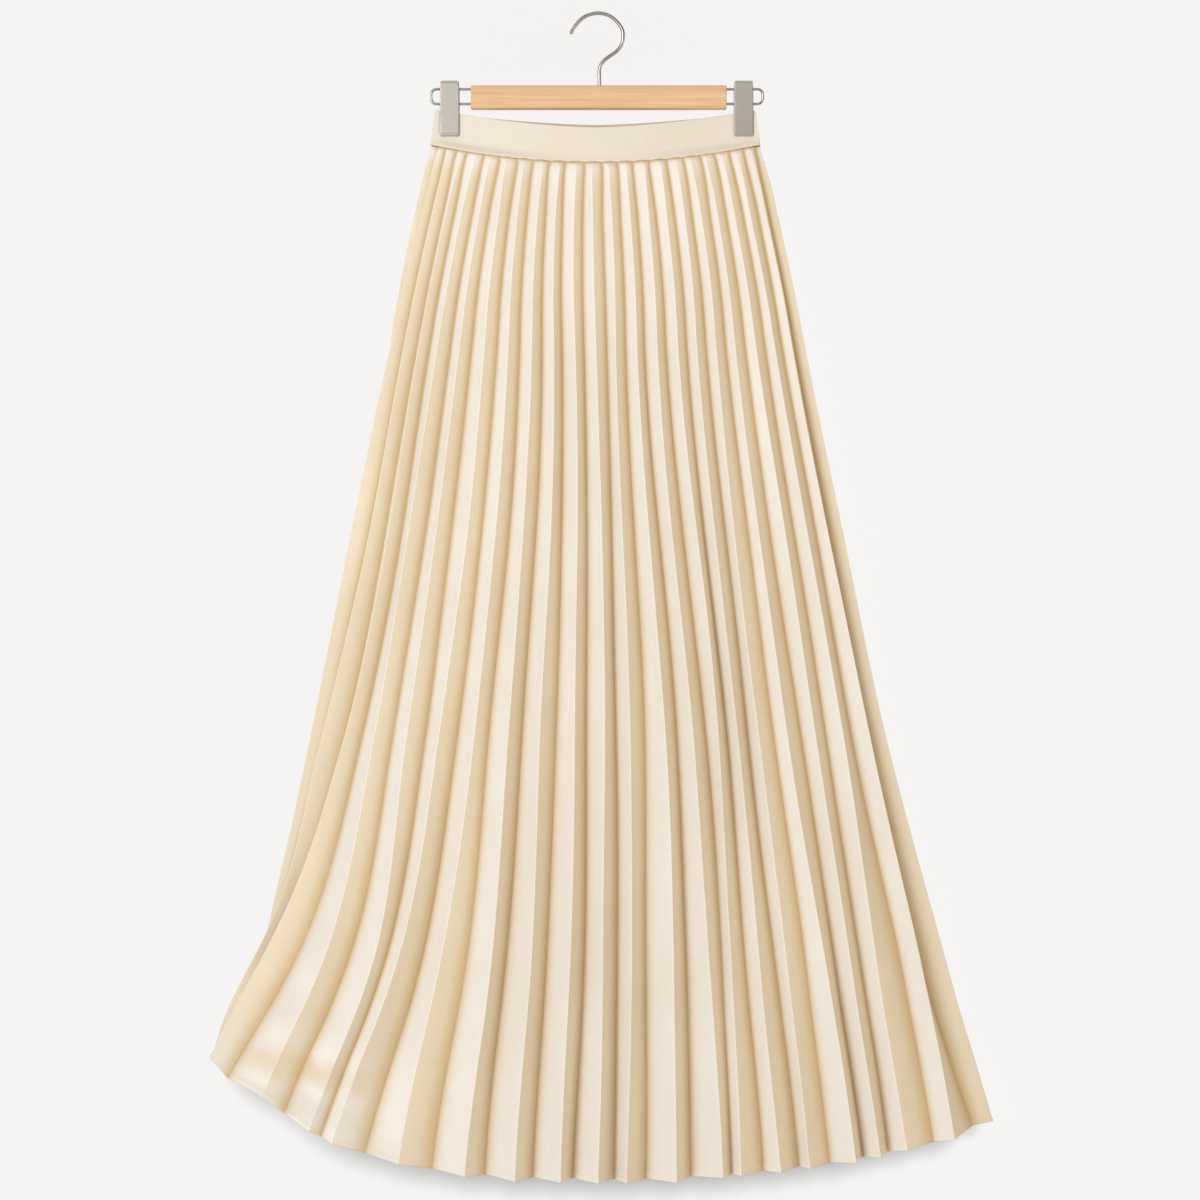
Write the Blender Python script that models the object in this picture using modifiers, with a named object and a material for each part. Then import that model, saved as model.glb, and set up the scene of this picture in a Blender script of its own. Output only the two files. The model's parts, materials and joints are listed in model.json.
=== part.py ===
"""Pleated maxi skirt held by its waistband on a wooden clip hanger.

Frame: metres, +Z up. +X is to the right as seen from the front, and -Y is the front.
The origin is the top of the hook's inner side, where the rod carries the hanger.
The tables and the shape functions work in millimetres, and a mesh is scaled to metres when it is made.
A drop is a depth below the origin, so it is -Z in millimetres.
"""
import math

import bmesh
import bpy
import numpy as np
from mathutils import Vector

MM = 0.001
COLLECTION = "pleated_maxi_skirt"

# Cloth and seams, in millimetres
CLOTH_WALL = 1.3
BAND_WALL = 2.4
SEAM_GAP = 0.3
LONGEST_MITRE = 2.6

# Rounding of curves: steps round a tube, fine steps for measuring a curve, and how often a place is refined
ROUND_STEPS = 24
FINE_STEPS = 400
PASSES = 4

# The places and drops in the tables are as sighted from straight in front, at this distance and drop,
# on the plane of the side seams. The function sighted() brings them to their own depth.
SIGHT_DISTANCE = 3000.0
SIGHT_DROP = 585.0

# Waistband: its corners, and how far its two edges drop in the middle
BAND_TOP_ENDS = (-165.3, 156.0)
BAND_SEAM_ENDS = (-169.5, 160.5)
BAND_TOP_DROP = 95.0
BAND_TOP_SAG = 17.0
BAND_TOP_POWER = 1.6
SEAM_DROP = 130.4
SEAM_SAG = 16.8
BAND_BOW_TOP = 12.0
BAND_BOW_POWER = 1.5
SEAM_DEPTH = 16.0
PINCH_DEPTH = 2.55
PINCH_START = 0.84
FLARE_START = 0.74
BAND_COLUMNS = 33
BAND_ROWS = 7

# Sections of the pleated skirt: where its left and right edges are at a drop, half its depth there,
# and how round it is, from 2 for an ellipse up to fuller sides
SECTION_COLUMNS = ("drop", "left", "right", "depth", "roundness")
SECTIONS = (
    (130, -169.5, 160.5, SEAM_DEPTH, 2.00),
    (165, -178, 171, 19, 2.10),
    (210, -188, 181, 23, 2.20),
    (285, -204, 197, 30, 2.30),
    (335, -214, 206.5, 34, 2.30),
    (535, -252, 248, 51, 2.30),
    (735, -295, 292, 66, 2.30),
    (835, -319, 317, 75, 2.30),
    (935, -348, 344, 84, 2.30),
    (985, -365, 358, 88, 2.30),
    (1043, -386, 376, 92, 2.30),
    (1106, -403, 395, 96, 2.30),
    (1180, -414, 415, 99, 2.30),
)

# Front ridges from left to right: their places at the seam, at three drops and at the hem, the drop of
# the hem there, and the share of the way from the last ridge that the face turned left takes up.
# A place beyond the edge means that the ridge has turned the corner and lies that far in on the back.
HIP_DROP = 335
KNEE_DROP = 735
CALF_DROP = 935
RIDGE_COLUMNS = ("seam", "hip", "knee", "calf", "hem", "hem_drop", "left_high", "left_low")
RIDGES = (
    (-168, -216, -320, -385, -462, 1068, 0.50, 0.50),
    (-161, -211, -296, -360, -428, 1052, 0.50, 0.50),
    (-152, -197, -281, -345, -396, 1046, 0.57, 0.50),
    (-139, -182, -261, -336, -393, 1043, 0.39, 0.45),
    (-125, -163, -230, -276, -344, 1082, 0.55, 0.47),
    (-109, -141, -195, -227, -295, 1116, 0.40, 0.51),
    (-92, -116, -163, -201, -271, 1128, 0.48, 0.50),
    (-75, -92, -129, -158, -203, 1149, 0.42, 0.49),
    (-57, -68, -94, -109, -136, 1162, 0.50, 0.49),
    (-41, -46, -60, -70, -86, 1167, 0.50, 0.60),
    (-24, -25, -25, -29, -41, 1168, 0.57, 0.62),
    (-7, -4, 4, 4, -2, 1169, 0.48, 0.74),
    (9, 16, 30, 31, 28, 1169, 0.50, 0.60),
    (25, 37, 67, 73, 77, 1168, 0.52, 0.64),
    (42, 57, 95, 110, 123, 1163, 0.58, 0.76),
    (58, 78, 120, 132, 143, 1161, 0.57, 0.78),
    (75, 97, 139, 159, 184, 1158, 0.53, 0.46),
    (90, 116, 160, 186, 211, 1154, 0.53, 0.30),
    (105, 135, 191, 225, 258, 1148, 0.40, 0.49),
    (120, 156, 219, 251, 284, 1143, 0.40, 0.80),
    (134, 175, 245, 277, 310, 1136, 0.27, 0.66),
    (149, 193, 273, 319, 357, 1125, 0.22, 0.30),
    (160, 206, 291, 343, 394, 1106, 0.18, 0.24),
)

# Pleats: the width of one pleat face at the seam and at the hem, and the shallowest and deepest folds
FACE_AT_SEAM = 9.8
FACE_AT_HEM = 34.5
SHALLOWEST = 7.0
DEEPEST_SHARE = 0.76
FIRST_FOLD = 5.0
FOLD_GROWTH = 90.0
BACK_PLEATS = 23
BACK_UNEVEN = 0.16
BACK_HEM_MIDDLE = 1150.0
BACK_HEM_LEFT = 1046.0
BACK_HEM_RIGHT = 1106.0
BACK_HEM_POWER_LEFT = 1.7
BACK_HEM_POWER_RIGHT = 2.2
EDGE_POWER = 6
LENGTH_STEPS = (
    0, 0.02, 0.05, 0.10, 0.16, 0.23, 0.31, 0.40, 0.49, 0.58, 0.66, 0.74, 0.80, 0.85, 0.89, 0.93, 0.965, 1,
)

# The lower left of the skirt swings forward
SWING = 64.0
SWING_PLACE = (-130.0, -390.0)
SWING_DROP = (760.0, 1060.0)

# The pleats there open out towards the hem
RELAXED = 0.45
RELAX_PLACE = (-200.0, -260.0)
RELAX_DROP = (990.0, 1110.0)

# Hanger
WIRE_RADIUS = 1.75
LOOP_RADIUS = 1.3
STEM_X = -0.6
HOOK_POINTS = (
    (-29.7, -19.0), (-23.4, -9.2), (-15.9, -2.1), (-8.0, 1.0), (0.0, 1.75), (9.4, -0.8), (17.4, -7.3),
    (22.3, -14.8), (23.1, -22.5), (21.6, -29.6), (17.2, -35.8), (11.2, -40.2), (4.9, -44.8), (0.8, -50.0),
    (STEM_X, -55.5), (STEM_X, -63.0), (STEM_X, -72.0), (STEM_X, -85.0),
)
HOOK_STEPS = 3
BAR_ENDS = (-129.0, 126.5)
BAR_TOP = -71.2
BAR_BOTTOM = -94.4
BAR_DEPTH = 13.0
BAR_ROUNDING = 1.8
LOOP_TOP = -74.3
LOOP_BOTTOM = -89.0
LOOP_ENDS = (-168.7, 162.7)
LOOP_CORNER = 5.0
LOOP_STEPS = 4
LOOP_SOCKET = 12.0
CUTTER_OVERSHOOT = 5.0
CLIP_PLACES = (-150.2, 143.5)
CLIP_WIDTH = 18.6
CLIP_TOP = -66.4
CLIP_BOTTOM = -121.6
JAW_WALL = 1.6
JAW_ROUNDING = 0.4
LIP_HEIGHT = 2.0
LIP_DEPTH = 0.8
BARREL_LENGTH = 13.0
WIRE_SIDES = 2


def clear_scene():
    """Take away every object that the file starts with."""
    for obj in list(bpy.data.objects):
        bpy.data.objects.remove(obj, do_unlink=True)


def material(name, colour, roughness, metallic=0.0):
    """A Principled material of one plain finish."""
    mat = bpy.data.materials.new(name)
    mat.use_nodes = True
    shader = mat.node_tree.nodes["Principled BSDF"]
    shader.inputs["Base Color"].default_value = (*colour, 1.0)
    shader.inputs["Roughness"].default_value = roughness
    shader.inputs["Metallic"].default_value = metallic
    return mat


def smooth(at, knots, values):
    """Smooth curve through the values at the knots, read at the places in at."""
    knots = np.asarray(knots, float)
    values = np.asarray(values, float)
    slopes = np.gradient(values, knots)
    i = np.clip(np.searchsorted(knots, at) - 1, 0, len(knots) - 2)
    step = knots[i + 1] - knots[i]
    t = np.clip((at - knots[i]) / step, 0.0, 1.0)
    start = (1 + 2 * t) * (1 - t) ** 2 * values[i] + t * (1 - t) ** 2 * step * slopes[i]
    end = t * t * (3 - 2 * t) * values[i + 1] + t * t * (t - 1) * step * slopes[i + 1]
    return start + end


def ramp(value, low, high):
    """0 up to low, 1 from high on, and an even S between them."""
    t = np.clip((value - low) / (high - low), 0.0, 1.0)
    return t * t * (3 - 2 * t)


def sighted(seen, centre, depth):
    """A sighted place or drop, brought to its real one at a depth of y behind the plane of the seams."""
    return centre + (seen - centre) * (1 + depth / SIGHT_DISTANCE)


def section(drop):
    """Left edge, right edge, half depth and roundness of the skirt at a drop."""
    table = dict(zip(SECTION_COLUMNS, np.array(SECTIONS, float).T))
    return [smooth(drop, table["drop"], table[name]) for name in SECTION_COLUMNS[1:]]


def round_to_angle(place, drop):
    """Angle round the section of a place across the front: 0 is the left edge, pi the right edge."""
    left, right, _, roundness = section(drop)
    share = np.where(place < 0, place / left, place / right)
    beyond = share > 1
    inside = np.where(beyond, 2 - share, share)
    angle = np.arccos(np.clip(inside, 0, 1) ** (roundness / 2))
    angle = np.where(beyond, -angle, angle)
    return np.where(place < 0, angle, math.pi - angle)


def swing(place, drop):
    """How far the lower left of the skirt comes forward."""
    return SWING * ramp(-place, -SWING_PLACE[0], -SWING_PLACE[1]) * ramp(drop, *SWING_DROP)


def angle_to_round(angle, drop, inward):
    """Point across and in depth at an angle round the section, a distance inside the outer line.

    The inward way turns from straight through in the middle to straight across at the two edges.
    """
    left, right, depth, roundness = section(drop)
    across = np.cos(angle)
    through = np.sin(angle)
    out = np.abs(across) ** (2 / roundness)
    x = -np.sign(across) * (out * np.where(across > 0, -left, right) - inward * out ** EDGE_POWER)
    y = -np.sign(through) * np.abs(through) ** (2 / roundness) * (depth - inward)
    return x, y - swing(x, drop)


def band_share(place):
    """Place along the waistband seam, from -1 at the left end to 1 at the right end."""
    left, right = BAND_SEAM_ENDS
    return np.clip((2 * place - left - right) / (right - left), -1, 1)


def seam_line(place):
    """Real drop of the seam between the waistband and the pleats."""
    share = band_share(place)
    bow = 1 - share ** 2
    return sighted(SEAM_DROP + SEAM_SAG * bow, SIGHT_DROP, -SEAM_DEPTH * bow)


def ridge_table():
    """Columns of the front ridges' table by name."""
    return dict(zip(RIDGE_COLUMNS, np.array(RIDGES, float).T))


def front_ridges(along):
    """Angles and real drops of the front ridges, one row for each step along the skirt."""
    seam_seen = SEAM_DROP + SEAM_SAG * (1 - band_share(ridge_table()["seam"]) ** 2) + SEAM_GAP
    angles = []
    drops = []
    for (seam, hip, knee, calf, hem, hem_drop, _, _), start in zip(RIDGES, seam_seen):
        knots = np.array((start, HIP_DROP, KNEE_DROP, CALF_DROP, hem_drop), float)
        places = np.array((seam, hip, knee, calf, hem), float)
        turned = round_to_angle(places, knots)
        for _ in range(PASSES):
            _, depth = angle_to_round(turned, knots, 0.0)
            turned = round_to_angle(sighted(places, 0.0, depth), knots)
        seen_drop = start + along * (hem_drop - start)
        angle = smooth(seen_drop, knots, turned)
        x, depth = angle_to_round(angle, seen_drop, 0.0)
        drop = sighted(seen_drop, SIGHT_DROP, depth)
        drop += (seam_line(x[0]) + SEAM_GAP - drop[0]) * (1 - along)
        angles.append(angle)
        drops.append(drop)
    return np.stack(angles, 1), np.stack(drops, 1)


def back_hem_line(place):
    """Real drop of the hem at a place across the back."""
    left, right, _, _ = section(BACK_HEM_MIDDLE)
    to_left = (BACK_HEM_MIDDLE - BACK_HEM_LEFT) * np.abs(place / left) ** BACK_HEM_POWER_LEFT
    to_right = (BACK_HEM_MIDDLE - BACK_HEM_RIGHT) * np.abs(place / right) ** BACK_HEM_POWER_RIGHT
    return BACK_HEM_MIDDLE - np.where(place < 0, to_left, to_right)


def back_ridges(along, first, last):
    """Angles and drops of the back ridges, spaced along the section from the last front ridge round."""
    turns = np.arange(BACK_PLEATS + 1)
    widths = 1 + BACK_UNEVEN * (np.sin(2.3 * turns + 0.7) + 0.7 * np.sin(5.1 * turns + 2.0))
    shares = np.cumsum(widths)[:-1] / widths.sum()
    angles = []
    for step, start, end in zip(along, last, first + 2 * math.pi):
        fine = np.linspace(start, end, FINE_STEPS)
        drop = SEAM_DROP + step * (BACK_HEM_RIGHT - SEAM_DROP)
        x, y = angle_to_round(fine, drop, 0.0)
        run = np.concatenate([[0.0], np.cumsum(np.hypot(np.diff(x), np.diff(y)))])
        angles.append(np.interp(shares * run[-1], run, fine))
    angles = np.array(angles)
    seam = np.full(BACK_PLEATS, SEAM_DROP)
    hem = np.full(BACK_PLEATS, BACK_HEM_RIGHT)
    for _ in range(PASSES):
        seam_x, _ = angle_to_round(angles[0], seam, 0.0)
        seam = seam_line(seam_x) + SEAM_GAP
        hem_x, _ = angle_to_round(angles[-1], hem, 0.0)
        hem = back_hem_line(hem_x)
    return angles, seam + along[:, None] * (hem - seam)


def fold_ring(along):
    """Every fold of the skirt in order from the left seam round: valley, ridge, valley, ridge, and so on."""
    front_angle, front_drop = front_ridges(along)
    back_angle, back_drop = back_ridges(along, front_angle[:, 0], front_angle[:, -1])
    angle = np.concatenate([front_angle, back_angle], 1)
    drop = np.concatenate([front_drop, back_drop], 1)
    x, y = angle_to_round(angle, drop, 0.0)
    ridge = np.stack([x, y, -drop], 2)
    before = np.roll(ridge, 1, axis=1)
    angle_before = np.concatenate([angle[:, -1:] - 2 * math.pi, angle[:, :-1]], 1)

    halves = np.full(BACK_PLEATS, 0.5)
    left_high = np.concatenate([ridge_table()["left_high"], halves])
    left_low = np.concatenate([ridge_table()["left_low"], halves])
    left_share = left_high + (left_low - left_high) * along[:, None]

    pitch = np.linalg.norm(ridge - before, axis=2)
    face = FACE_AT_SEAM + (FACE_AT_HEM - FACE_AT_SEAM) * along[:, None]
    spare = face ** 2 - (pitch / 2) ** 2
    fold = np.sqrt((spare + np.hypot(spare, 2 * SHALLOWEST ** 2)) / 2)
    fold = np.minimum(fold, DEEPEST_SHARE * face)
    fold = np.minimum(fold, FIRST_FOLD + FOLD_GROWTH * along[:, None])
    relaxed = RELAXED * ramp(drop, *RELAX_DROP) * ramp(-x, -RELAX_PLACE[0], -RELAX_PLACE[1])
    relaxed[:, len(RIDGES):] = 0.0
    fold *= 1 - relaxed

    valley_angle = angle + (angle_before - angle) * left_share
    valley_z = ridge[..., 2] + (before[..., 2] - ridge[..., 2]) * left_share
    vx, vy = angle_to_round(valley_angle, -valley_z, fold)
    below_band = -(seam_line(vx[0]) + SEAM_GAP) - valley_z[0]
    valley = np.stack([vx, vy, valley_z + below_band * (1 - along[:, None])], 2)
    ring = np.empty((len(along), 2 * ridge.shape[1], 3))
    ring[:, 0::2] = valley
    ring[:, 1::2] = ridge
    return ring


def inner_ring(ring, wall):
    """The inner line of every row: each fold moved in level, so that both its faces are one wall thick."""
    forward = np.roll(ring, -1, axis=1)[..., :2] - ring[..., :2]
    forward = forward / np.linalg.norm(forward, axis=2, keepdims=True)
    ahead = np.stack([-forward[..., 1], forward[..., 0]], 2)
    behind = np.roll(ahead, 1, axis=1)
    middle = ahead + behind
    middle = middle / np.linalg.norm(middle, axis=2, keepdims=True)
    reach = wall / np.maximum((middle * ahead).sum(2, keepdims=True), 1 / LONGEST_MITRE)
    inner = ring.copy()
    inner[..., :2] += middle * reach
    return inner


def wall_mesh(name, outer, inner, mat):
    """Closed wall between an outer and an inner grid of points."""
    rows, columns = outer.shape[:2]
    index = np.arange(rows * columns).reshape(rows, columns)
    count = rows * columns

    def strip(first, second):
        """Faces between two lines of points."""
        return np.stack([first[:-1], second[:-1], second[1:], first[1:]], -1).reshape(-1, 4)

    out = np.concatenate([strip(index[row], index[row + 1]) for row in range(rows - 1)])
    rim = np.concatenate([index[0], index[1:, -1], index[-1, -2::-1], index[-2::-1, 0]])
    faces = np.concatenate([out, out[:, ::-1] + count, strip(rim, rim + count)[:, ::-1]])
    points = np.concatenate([outer.reshape(-1, 3), inner.reshape(-1, 3)]) * MM
    mesh = bpy.data.meshes.new(name)
    mesh.from_pydata(points.tolist(), [], faces.tolist())
    mesh.update()
    return finish(bpy.data.objects.new(name, mesh), mat)


def finish(obj, mat):
    """Give an object its material and put it in the part's collection."""
    obj.data.materials.append(mat)
    bpy.data.collections[COLLECTION].objects.link(obj)
    return obj


def panel(ring, first, last):
    """The folds from one seam round to the next, held back from both by half the seam's gap."""
    folds = ring[:, np.arange(first, last + 1) % ring.shape[1]]
    for end, beside, past in ((0, 1, first - 1), (-1, -2, last + 1)):
        across = (folds[:, beside] - ring[:, past % ring.shape[1]]) * (1, 1, 0)
        folds[:, end] += across * (SEAM_GAP / 2 / np.linalg.norm(across, axis=1, keepdims=True))
    return folds


def make_skirt(mat):
    """Front and back pleated panels, parted at the two side seams."""
    ring = fold_ring(np.array(LENGTH_STEPS, float))
    inner = inner_ring(ring, CLOTH_WALL)
    seam = 2 * len(RIDGES)
    for name, first, last in (("skirt_front", 0, seam), ("skirt_back", seam, ring.shape[1])):
        wall_mesh(name, panel(ring, first, last), panel(inner, first, last), mat)


def band_grids(side):
    """Outer and inner face of one half of the waistband: side is -1 for the front and 1 for the back."""
    share = np.linspace(-1, 1, BAND_COLUMNS)
    down = np.linspace(0, 1, BAND_ROWS)[:, None]
    top_x = BAND_TOP_ENDS[0] + (share + 1) / 2 * (BAND_TOP_ENDS[1] - BAND_TOP_ENDS[0])
    seam_x = BAND_SEAM_ENDS[0] + (share + 1) / 2 * (BAND_SEAM_ENDS[1] - BAND_SEAM_ENDS[0])
    x = top_x + (seam_x - top_x) * down
    bow = np.maximum(0, 1 - (share / PINCH_START) ** 2) ** BAND_BOW_POWER
    at_top = PINCH_DEPTH + BAND_BOW_TOP * bow
    at_seam = PINCH_DEPTH + (SEAM_DEPTH - PINCH_DEPTH) * np.sqrt(1 - share ** 2)
    depth = at_top + (at_seam - at_top) * ramp(down, FLARE_START, 1.0)
    top_seen = BAND_TOP_DROP + BAND_TOP_SAG * (1 - np.abs(share) ** BAND_TOP_POWER)
    top_drop = sighted(top_seen, SIGHT_DROP, -at_top)
    drop = top_drop + (seam_line(seam_x) - top_drop) * down
    outer = np.stack([x, side * depth, -drop], 2)
    inner = np.stack([x, side * (depth - BAND_WALL), -drop], 2)
    return (outer, inner) if side < 0 else (outer[:, ::-1], inner[:, ::-1])


def make_band(mat):
    """The two halves of the waistband, pinched together under the clips."""
    wall_mesh("waistband_front", *band_grids(-1), mat)
    wall_mesh("waistband_back", *band_grids(1), mat)


def wire(name, points, radius, mat):
    """Round wire along a path in the plane of the hanger."""
    curve = bpy.data.curves.new(name, "CURVE")
    curve.dimensions = "3D"
    curve.bevel_depth = radius * MM
    curve.bevel_resolution = WIRE_SIDES
    curve.use_fill_caps = True
    spline = curve.splines.new("POLY")
    spline.points.add(len(points) - 1)
    for point, (x, z) in zip(spline.points, points):
        point.co = (x * MM, 0.0, z * MM, 1.0)
    spline.use_smooth = True
    return finish(bpy.data.objects.new(name, curve), mat)


def smooth_path(points, steps):
    """Even curve through the points, with a number of steps between each two."""
    points = np.array(points, float)
    knots = np.arange(len(points))
    at = np.linspace(0, len(points) - 1, (len(points) - 1) * steps + 1)
    return np.stack([smooth(at, knots, points[:, 0]), smooth(at, knots, points[:, 1])], 1)


def make_hook(mat):
    """The hook, whose stem goes down into the bar."""
    wire("hanger_hook", smooth_path(HOOK_POINTS, HOOK_STEPS), WIRE_RADIUS, mat)


def make_loop(name, bar_end, loop_end, mat):
    """Wire loop at one end of the bar, on which a clip sits."""
    inward = math.copysign(1.0, bar_end - loop_end)
    socket = bar_end + inward * (LOOP_SOCKET - SEAM_GAP)
    turn = loop_end + inward * LOOP_CORNER
    points = [(socket, LOOP_TOP)]
    for centre_z, start in ((LOOP_TOP - LOOP_CORNER, 90), (LOOP_BOTTOM + LOOP_CORNER, 180)):
        for angle in np.radians(np.linspace(start, start + 90, LOOP_STEPS + 1)):
            x = turn + inward * LOOP_CORNER * math.cos(angle)
            points.append((x, centre_z + LOOP_CORNER * math.sin(angle)))
    points.append((socket, LOOP_BOTTOM))
    wire(name, points, LOOP_RADIUS, mat)


def cylinder_cutter(name, start, end, radius, cutters):
    """Round cutter between two points, in millimetres."""
    start = Vector(start) * MM
    end = Vector(end) * MM
    mesh = bpy.data.meshes.new(name)
    shape = bmesh.new()
    bmesh.ops.create_cone(shape, cap_ends=True, segments=ROUND_STEPS, radius1=radius * MM, radius2=radius * MM,
                          depth=(end - start).length)
    shape.to_mesh(mesh)
    shape.free()
    obj = bpy.data.objects.new(name, mesh)
    obj.location = (start + end) / 2
    obj.rotation_euler = (end - start).to_track_quat("Z", "Y").to_euler()
    obj.hide_render = True
    obj.display_type = "WIRE"
    cutters.objects.link(obj)
    return obj


def make_bar(mat, cutters):
    """Wooden bar with a socket for the hook's stem and two for each loop."""
    mesh = bpy.data.meshes.new("hanger_bar")
    shape = bmesh.new()
    bmesh.ops.create_cube(shape, size=1.0)
    length = BAR_ENDS[1] - BAR_ENDS[0]
    bmesh.ops.scale(shape, vec=Vector((length, BAR_DEPTH, BAR_TOP - BAR_BOTTOM)) * MM, verts=shape.verts)
    middle = Vector((sum(BAR_ENDS) / 2, 0, (BAR_TOP + BAR_BOTTOM) / 2)) * MM
    bmesh.ops.translate(shape, vec=middle, verts=shape.verts)
    shape.to_mesh(mesh)
    shape.free()
    bar = finish(bpy.data.objects.new("hanger_bar", mesh), mat)
    rounding = bar.modifiers.new("rounded edges", "BEVEL")
    rounding.width = BAR_ROUNDING * MM
    rounding.segments = 3
    stem_end = HOOK_POINTS[-1][1] - SEAM_GAP
    holes = [cylinder_cutter("stem_socket", (STEM_X, 0, BAR_TOP + CUTTER_OVERSHOOT),
                             (STEM_X, 0, stem_end), WIRE_RADIUS + SEAM_GAP, cutters)]
    for end, outward in zip(BAR_ENDS, (-1, 1)):
        for z in (LOOP_TOP, LOOP_BOTTOM):
            outside = (end + outward * CUTTER_OVERSHOOT, 0, z)
            inside = (end - outward * LOOP_SOCKET, 0, z)
            name = f"loop_socket_{len(holes)}"
            holes.append(cylinder_cutter(name, outside, inside, LOOP_RADIUS + SEAM_GAP, cutters))
    for hole in holes:
        cut = bar.modifiers.new(hole.name, "BOOLEAN")
        cut.operation = "DIFFERENCE"
        cut.object = hole


def make_jaw(name, place, side, mat):
    """One steel jaw of a clip: a flat plate with a lip along its top. Side is -1 in front, 1 behind."""
    inner = PINCH_DEPTH + SEAM_GAP
    outer = inner + JAW_WALL
    outline = ((inner, CLIP_BOTTOM), (outer, CLIP_BOTTOM), (outer, CLIP_TOP - LIP_HEIGHT),
               (outer + LIP_DEPTH, CLIP_TOP - LIP_HEIGHT), (outer + LIP_DEPTH, CLIP_TOP), (inner, CLIP_TOP))
    mesh = bpy.data.meshes.new(name)
    shape = bmesh.new()
    verts = [shape.verts.new(((place - CLIP_WIDTH / 2) * MM, side * y * MM, z * MM)) for y, z in outline]
    face = shape.faces.new(verts)
    moved = bmesh.ops.extrude_face_region(shape, geom=[face])["geom"]
    moved = [item for item in moved if isinstance(item, bmesh.types.BMVert)]
    bmesh.ops.translate(shape, vec=(CLIP_WIDTH * MM, 0, 0), verts=moved)
    bmesh.ops.recalc_face_normals(shape, faces=shape.faces)
    shape.to_mesh(mesh)
    shape.free()
    jaw = finish(bpy.data.objects.new(name, mesh), mat)
    edge = jaw.modifiers.new("soft edges", "BEVEL")
    edge.width = JAW_ROUNDING * MM
    edge.segments = 2


def make_barrel(name, place, mat):
    """Short tube on the loop's upper wire, which carries the two jaws."""
    outer = PINCH_DEPTH
    inner = LOOP_RADIUS + SEAM_GAP
    half = BARREL_LENGTH / 2
    profile = ((inner, half), (outer, half), (outer, -half), (inner, -half))
    mesh = bpy.data.meshes.new(name)
    edges = [(0, 1), (1, 2), (2, 3), (3, 0)]
    mesh.from_pydata([(r * MM, 0, z * MM) for r, z in profile], edges, [])
    barrel = finish(bpy.data.objects.new(name, mesh), mat)
    barrel.location = (place * MM, 0, LOOP_TOP * MM)
    barrel.rotation_euler = (0, math.pi / 2, 0)
    turn = barrel.modifiers.new("turn", "SCREW")
    turn.axis = "Z"
    turn.steps = ROUND_STEPS
    turn.render_steps = ROUND_STEPS
    turn.use_merge_vertices = True
    turn.merge_threshold = 0.00005
    turn.use_smooth_shade = True


def make_clips(mat):
    """Both clips, each with a front jaw, a back jaw and a barrel."""
    for side_name, place in zip(("left", "right"), CLIP_PLACES):
        make_jaw(f"clip_{side_name}_front", place, -1, mat)
        make_jaw(f"clip_{side_name}_back", place, 1, mat)
        make_barrel(f"clip_{side_name}_barrel", place, mat)


def main():
    clear_scene()
    part = bpy.data.collections.new(COLLECTION)
    cutters = bpy.data.collections.new("cutters")
    bpy.context.scene.collection.children.link(part)
    bpy.context.scene.collection.children.link(cutters)
    cloth = material("cream_satin", (0.85, 0.76, 0.60), 0.45)
    band = material("cream_band", (0.86, 0.78, 0.63), 0.5)
    wood = material("beech", (0.80, 0.56, 0.32), 0.5)
    steel = material("brushed_steel", (0.55, 0.54, 0.52), 0.35, 1.0)
    make_skirt(cloth)
    make_band(band)
    make_bar(wood, cutters)
    make_hook(steel)
    for side_name, bar_end, loop_end in zip(("left", "right"), BAR_ENDS, LOOP_ENDS):
        make_loop(f"loop_{side_name}", bar_end, loop_end, steel)
    make_clips(steel)


main()
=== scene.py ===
# %% [markdown]
# # A pleated maxi skirt on a clip hanger
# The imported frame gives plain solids: two pleated panels, a waistband in two halves, and a hanger
# with a wooden bar, a hook, two wire loops and two clips. This lesson dresses them. Cloth is a thin
# shell that follows the same folds with softer creases, and the hard pieces get rounder edges and
# real finishes.

# %% Load the frame
import json
import math

import bpy
import numpy as np
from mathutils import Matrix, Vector

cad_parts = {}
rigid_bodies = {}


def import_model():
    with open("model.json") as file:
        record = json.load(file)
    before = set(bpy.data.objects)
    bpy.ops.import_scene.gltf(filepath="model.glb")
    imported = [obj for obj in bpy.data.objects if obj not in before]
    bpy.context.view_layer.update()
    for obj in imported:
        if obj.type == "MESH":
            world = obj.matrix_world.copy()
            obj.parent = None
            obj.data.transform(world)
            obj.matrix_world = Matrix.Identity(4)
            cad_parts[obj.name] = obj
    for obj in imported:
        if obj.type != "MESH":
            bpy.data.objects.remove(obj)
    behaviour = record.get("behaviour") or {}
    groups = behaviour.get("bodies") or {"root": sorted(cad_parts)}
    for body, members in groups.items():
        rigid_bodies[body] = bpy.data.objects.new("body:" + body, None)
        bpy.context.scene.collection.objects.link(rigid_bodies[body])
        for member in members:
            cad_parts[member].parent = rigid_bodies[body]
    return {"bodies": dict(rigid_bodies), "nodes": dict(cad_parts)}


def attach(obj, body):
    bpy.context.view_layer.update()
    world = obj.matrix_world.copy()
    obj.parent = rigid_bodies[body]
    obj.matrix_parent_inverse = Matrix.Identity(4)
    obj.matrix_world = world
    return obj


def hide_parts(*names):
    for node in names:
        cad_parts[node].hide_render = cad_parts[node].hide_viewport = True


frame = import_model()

for obj in list(bpy.data.objects):
    if obj not in frame["nodes"].values() and obj not in frame["bodies"].values():
        bpy.data.objects.remove(obj, do_unlink=True)
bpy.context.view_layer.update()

# %% [markdown]
# ## Units and small curves
# All sizes are in millimetres, as a maker would write them, and a mesh is scaled to metres when it
# is made. The folds follow tables of measured places, so two helpers turn a few knots into smooth
# lines: a cubic through the knots, and an even S from nothing to full.

# %% Units and curve helpers
MM = 0.001


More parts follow.
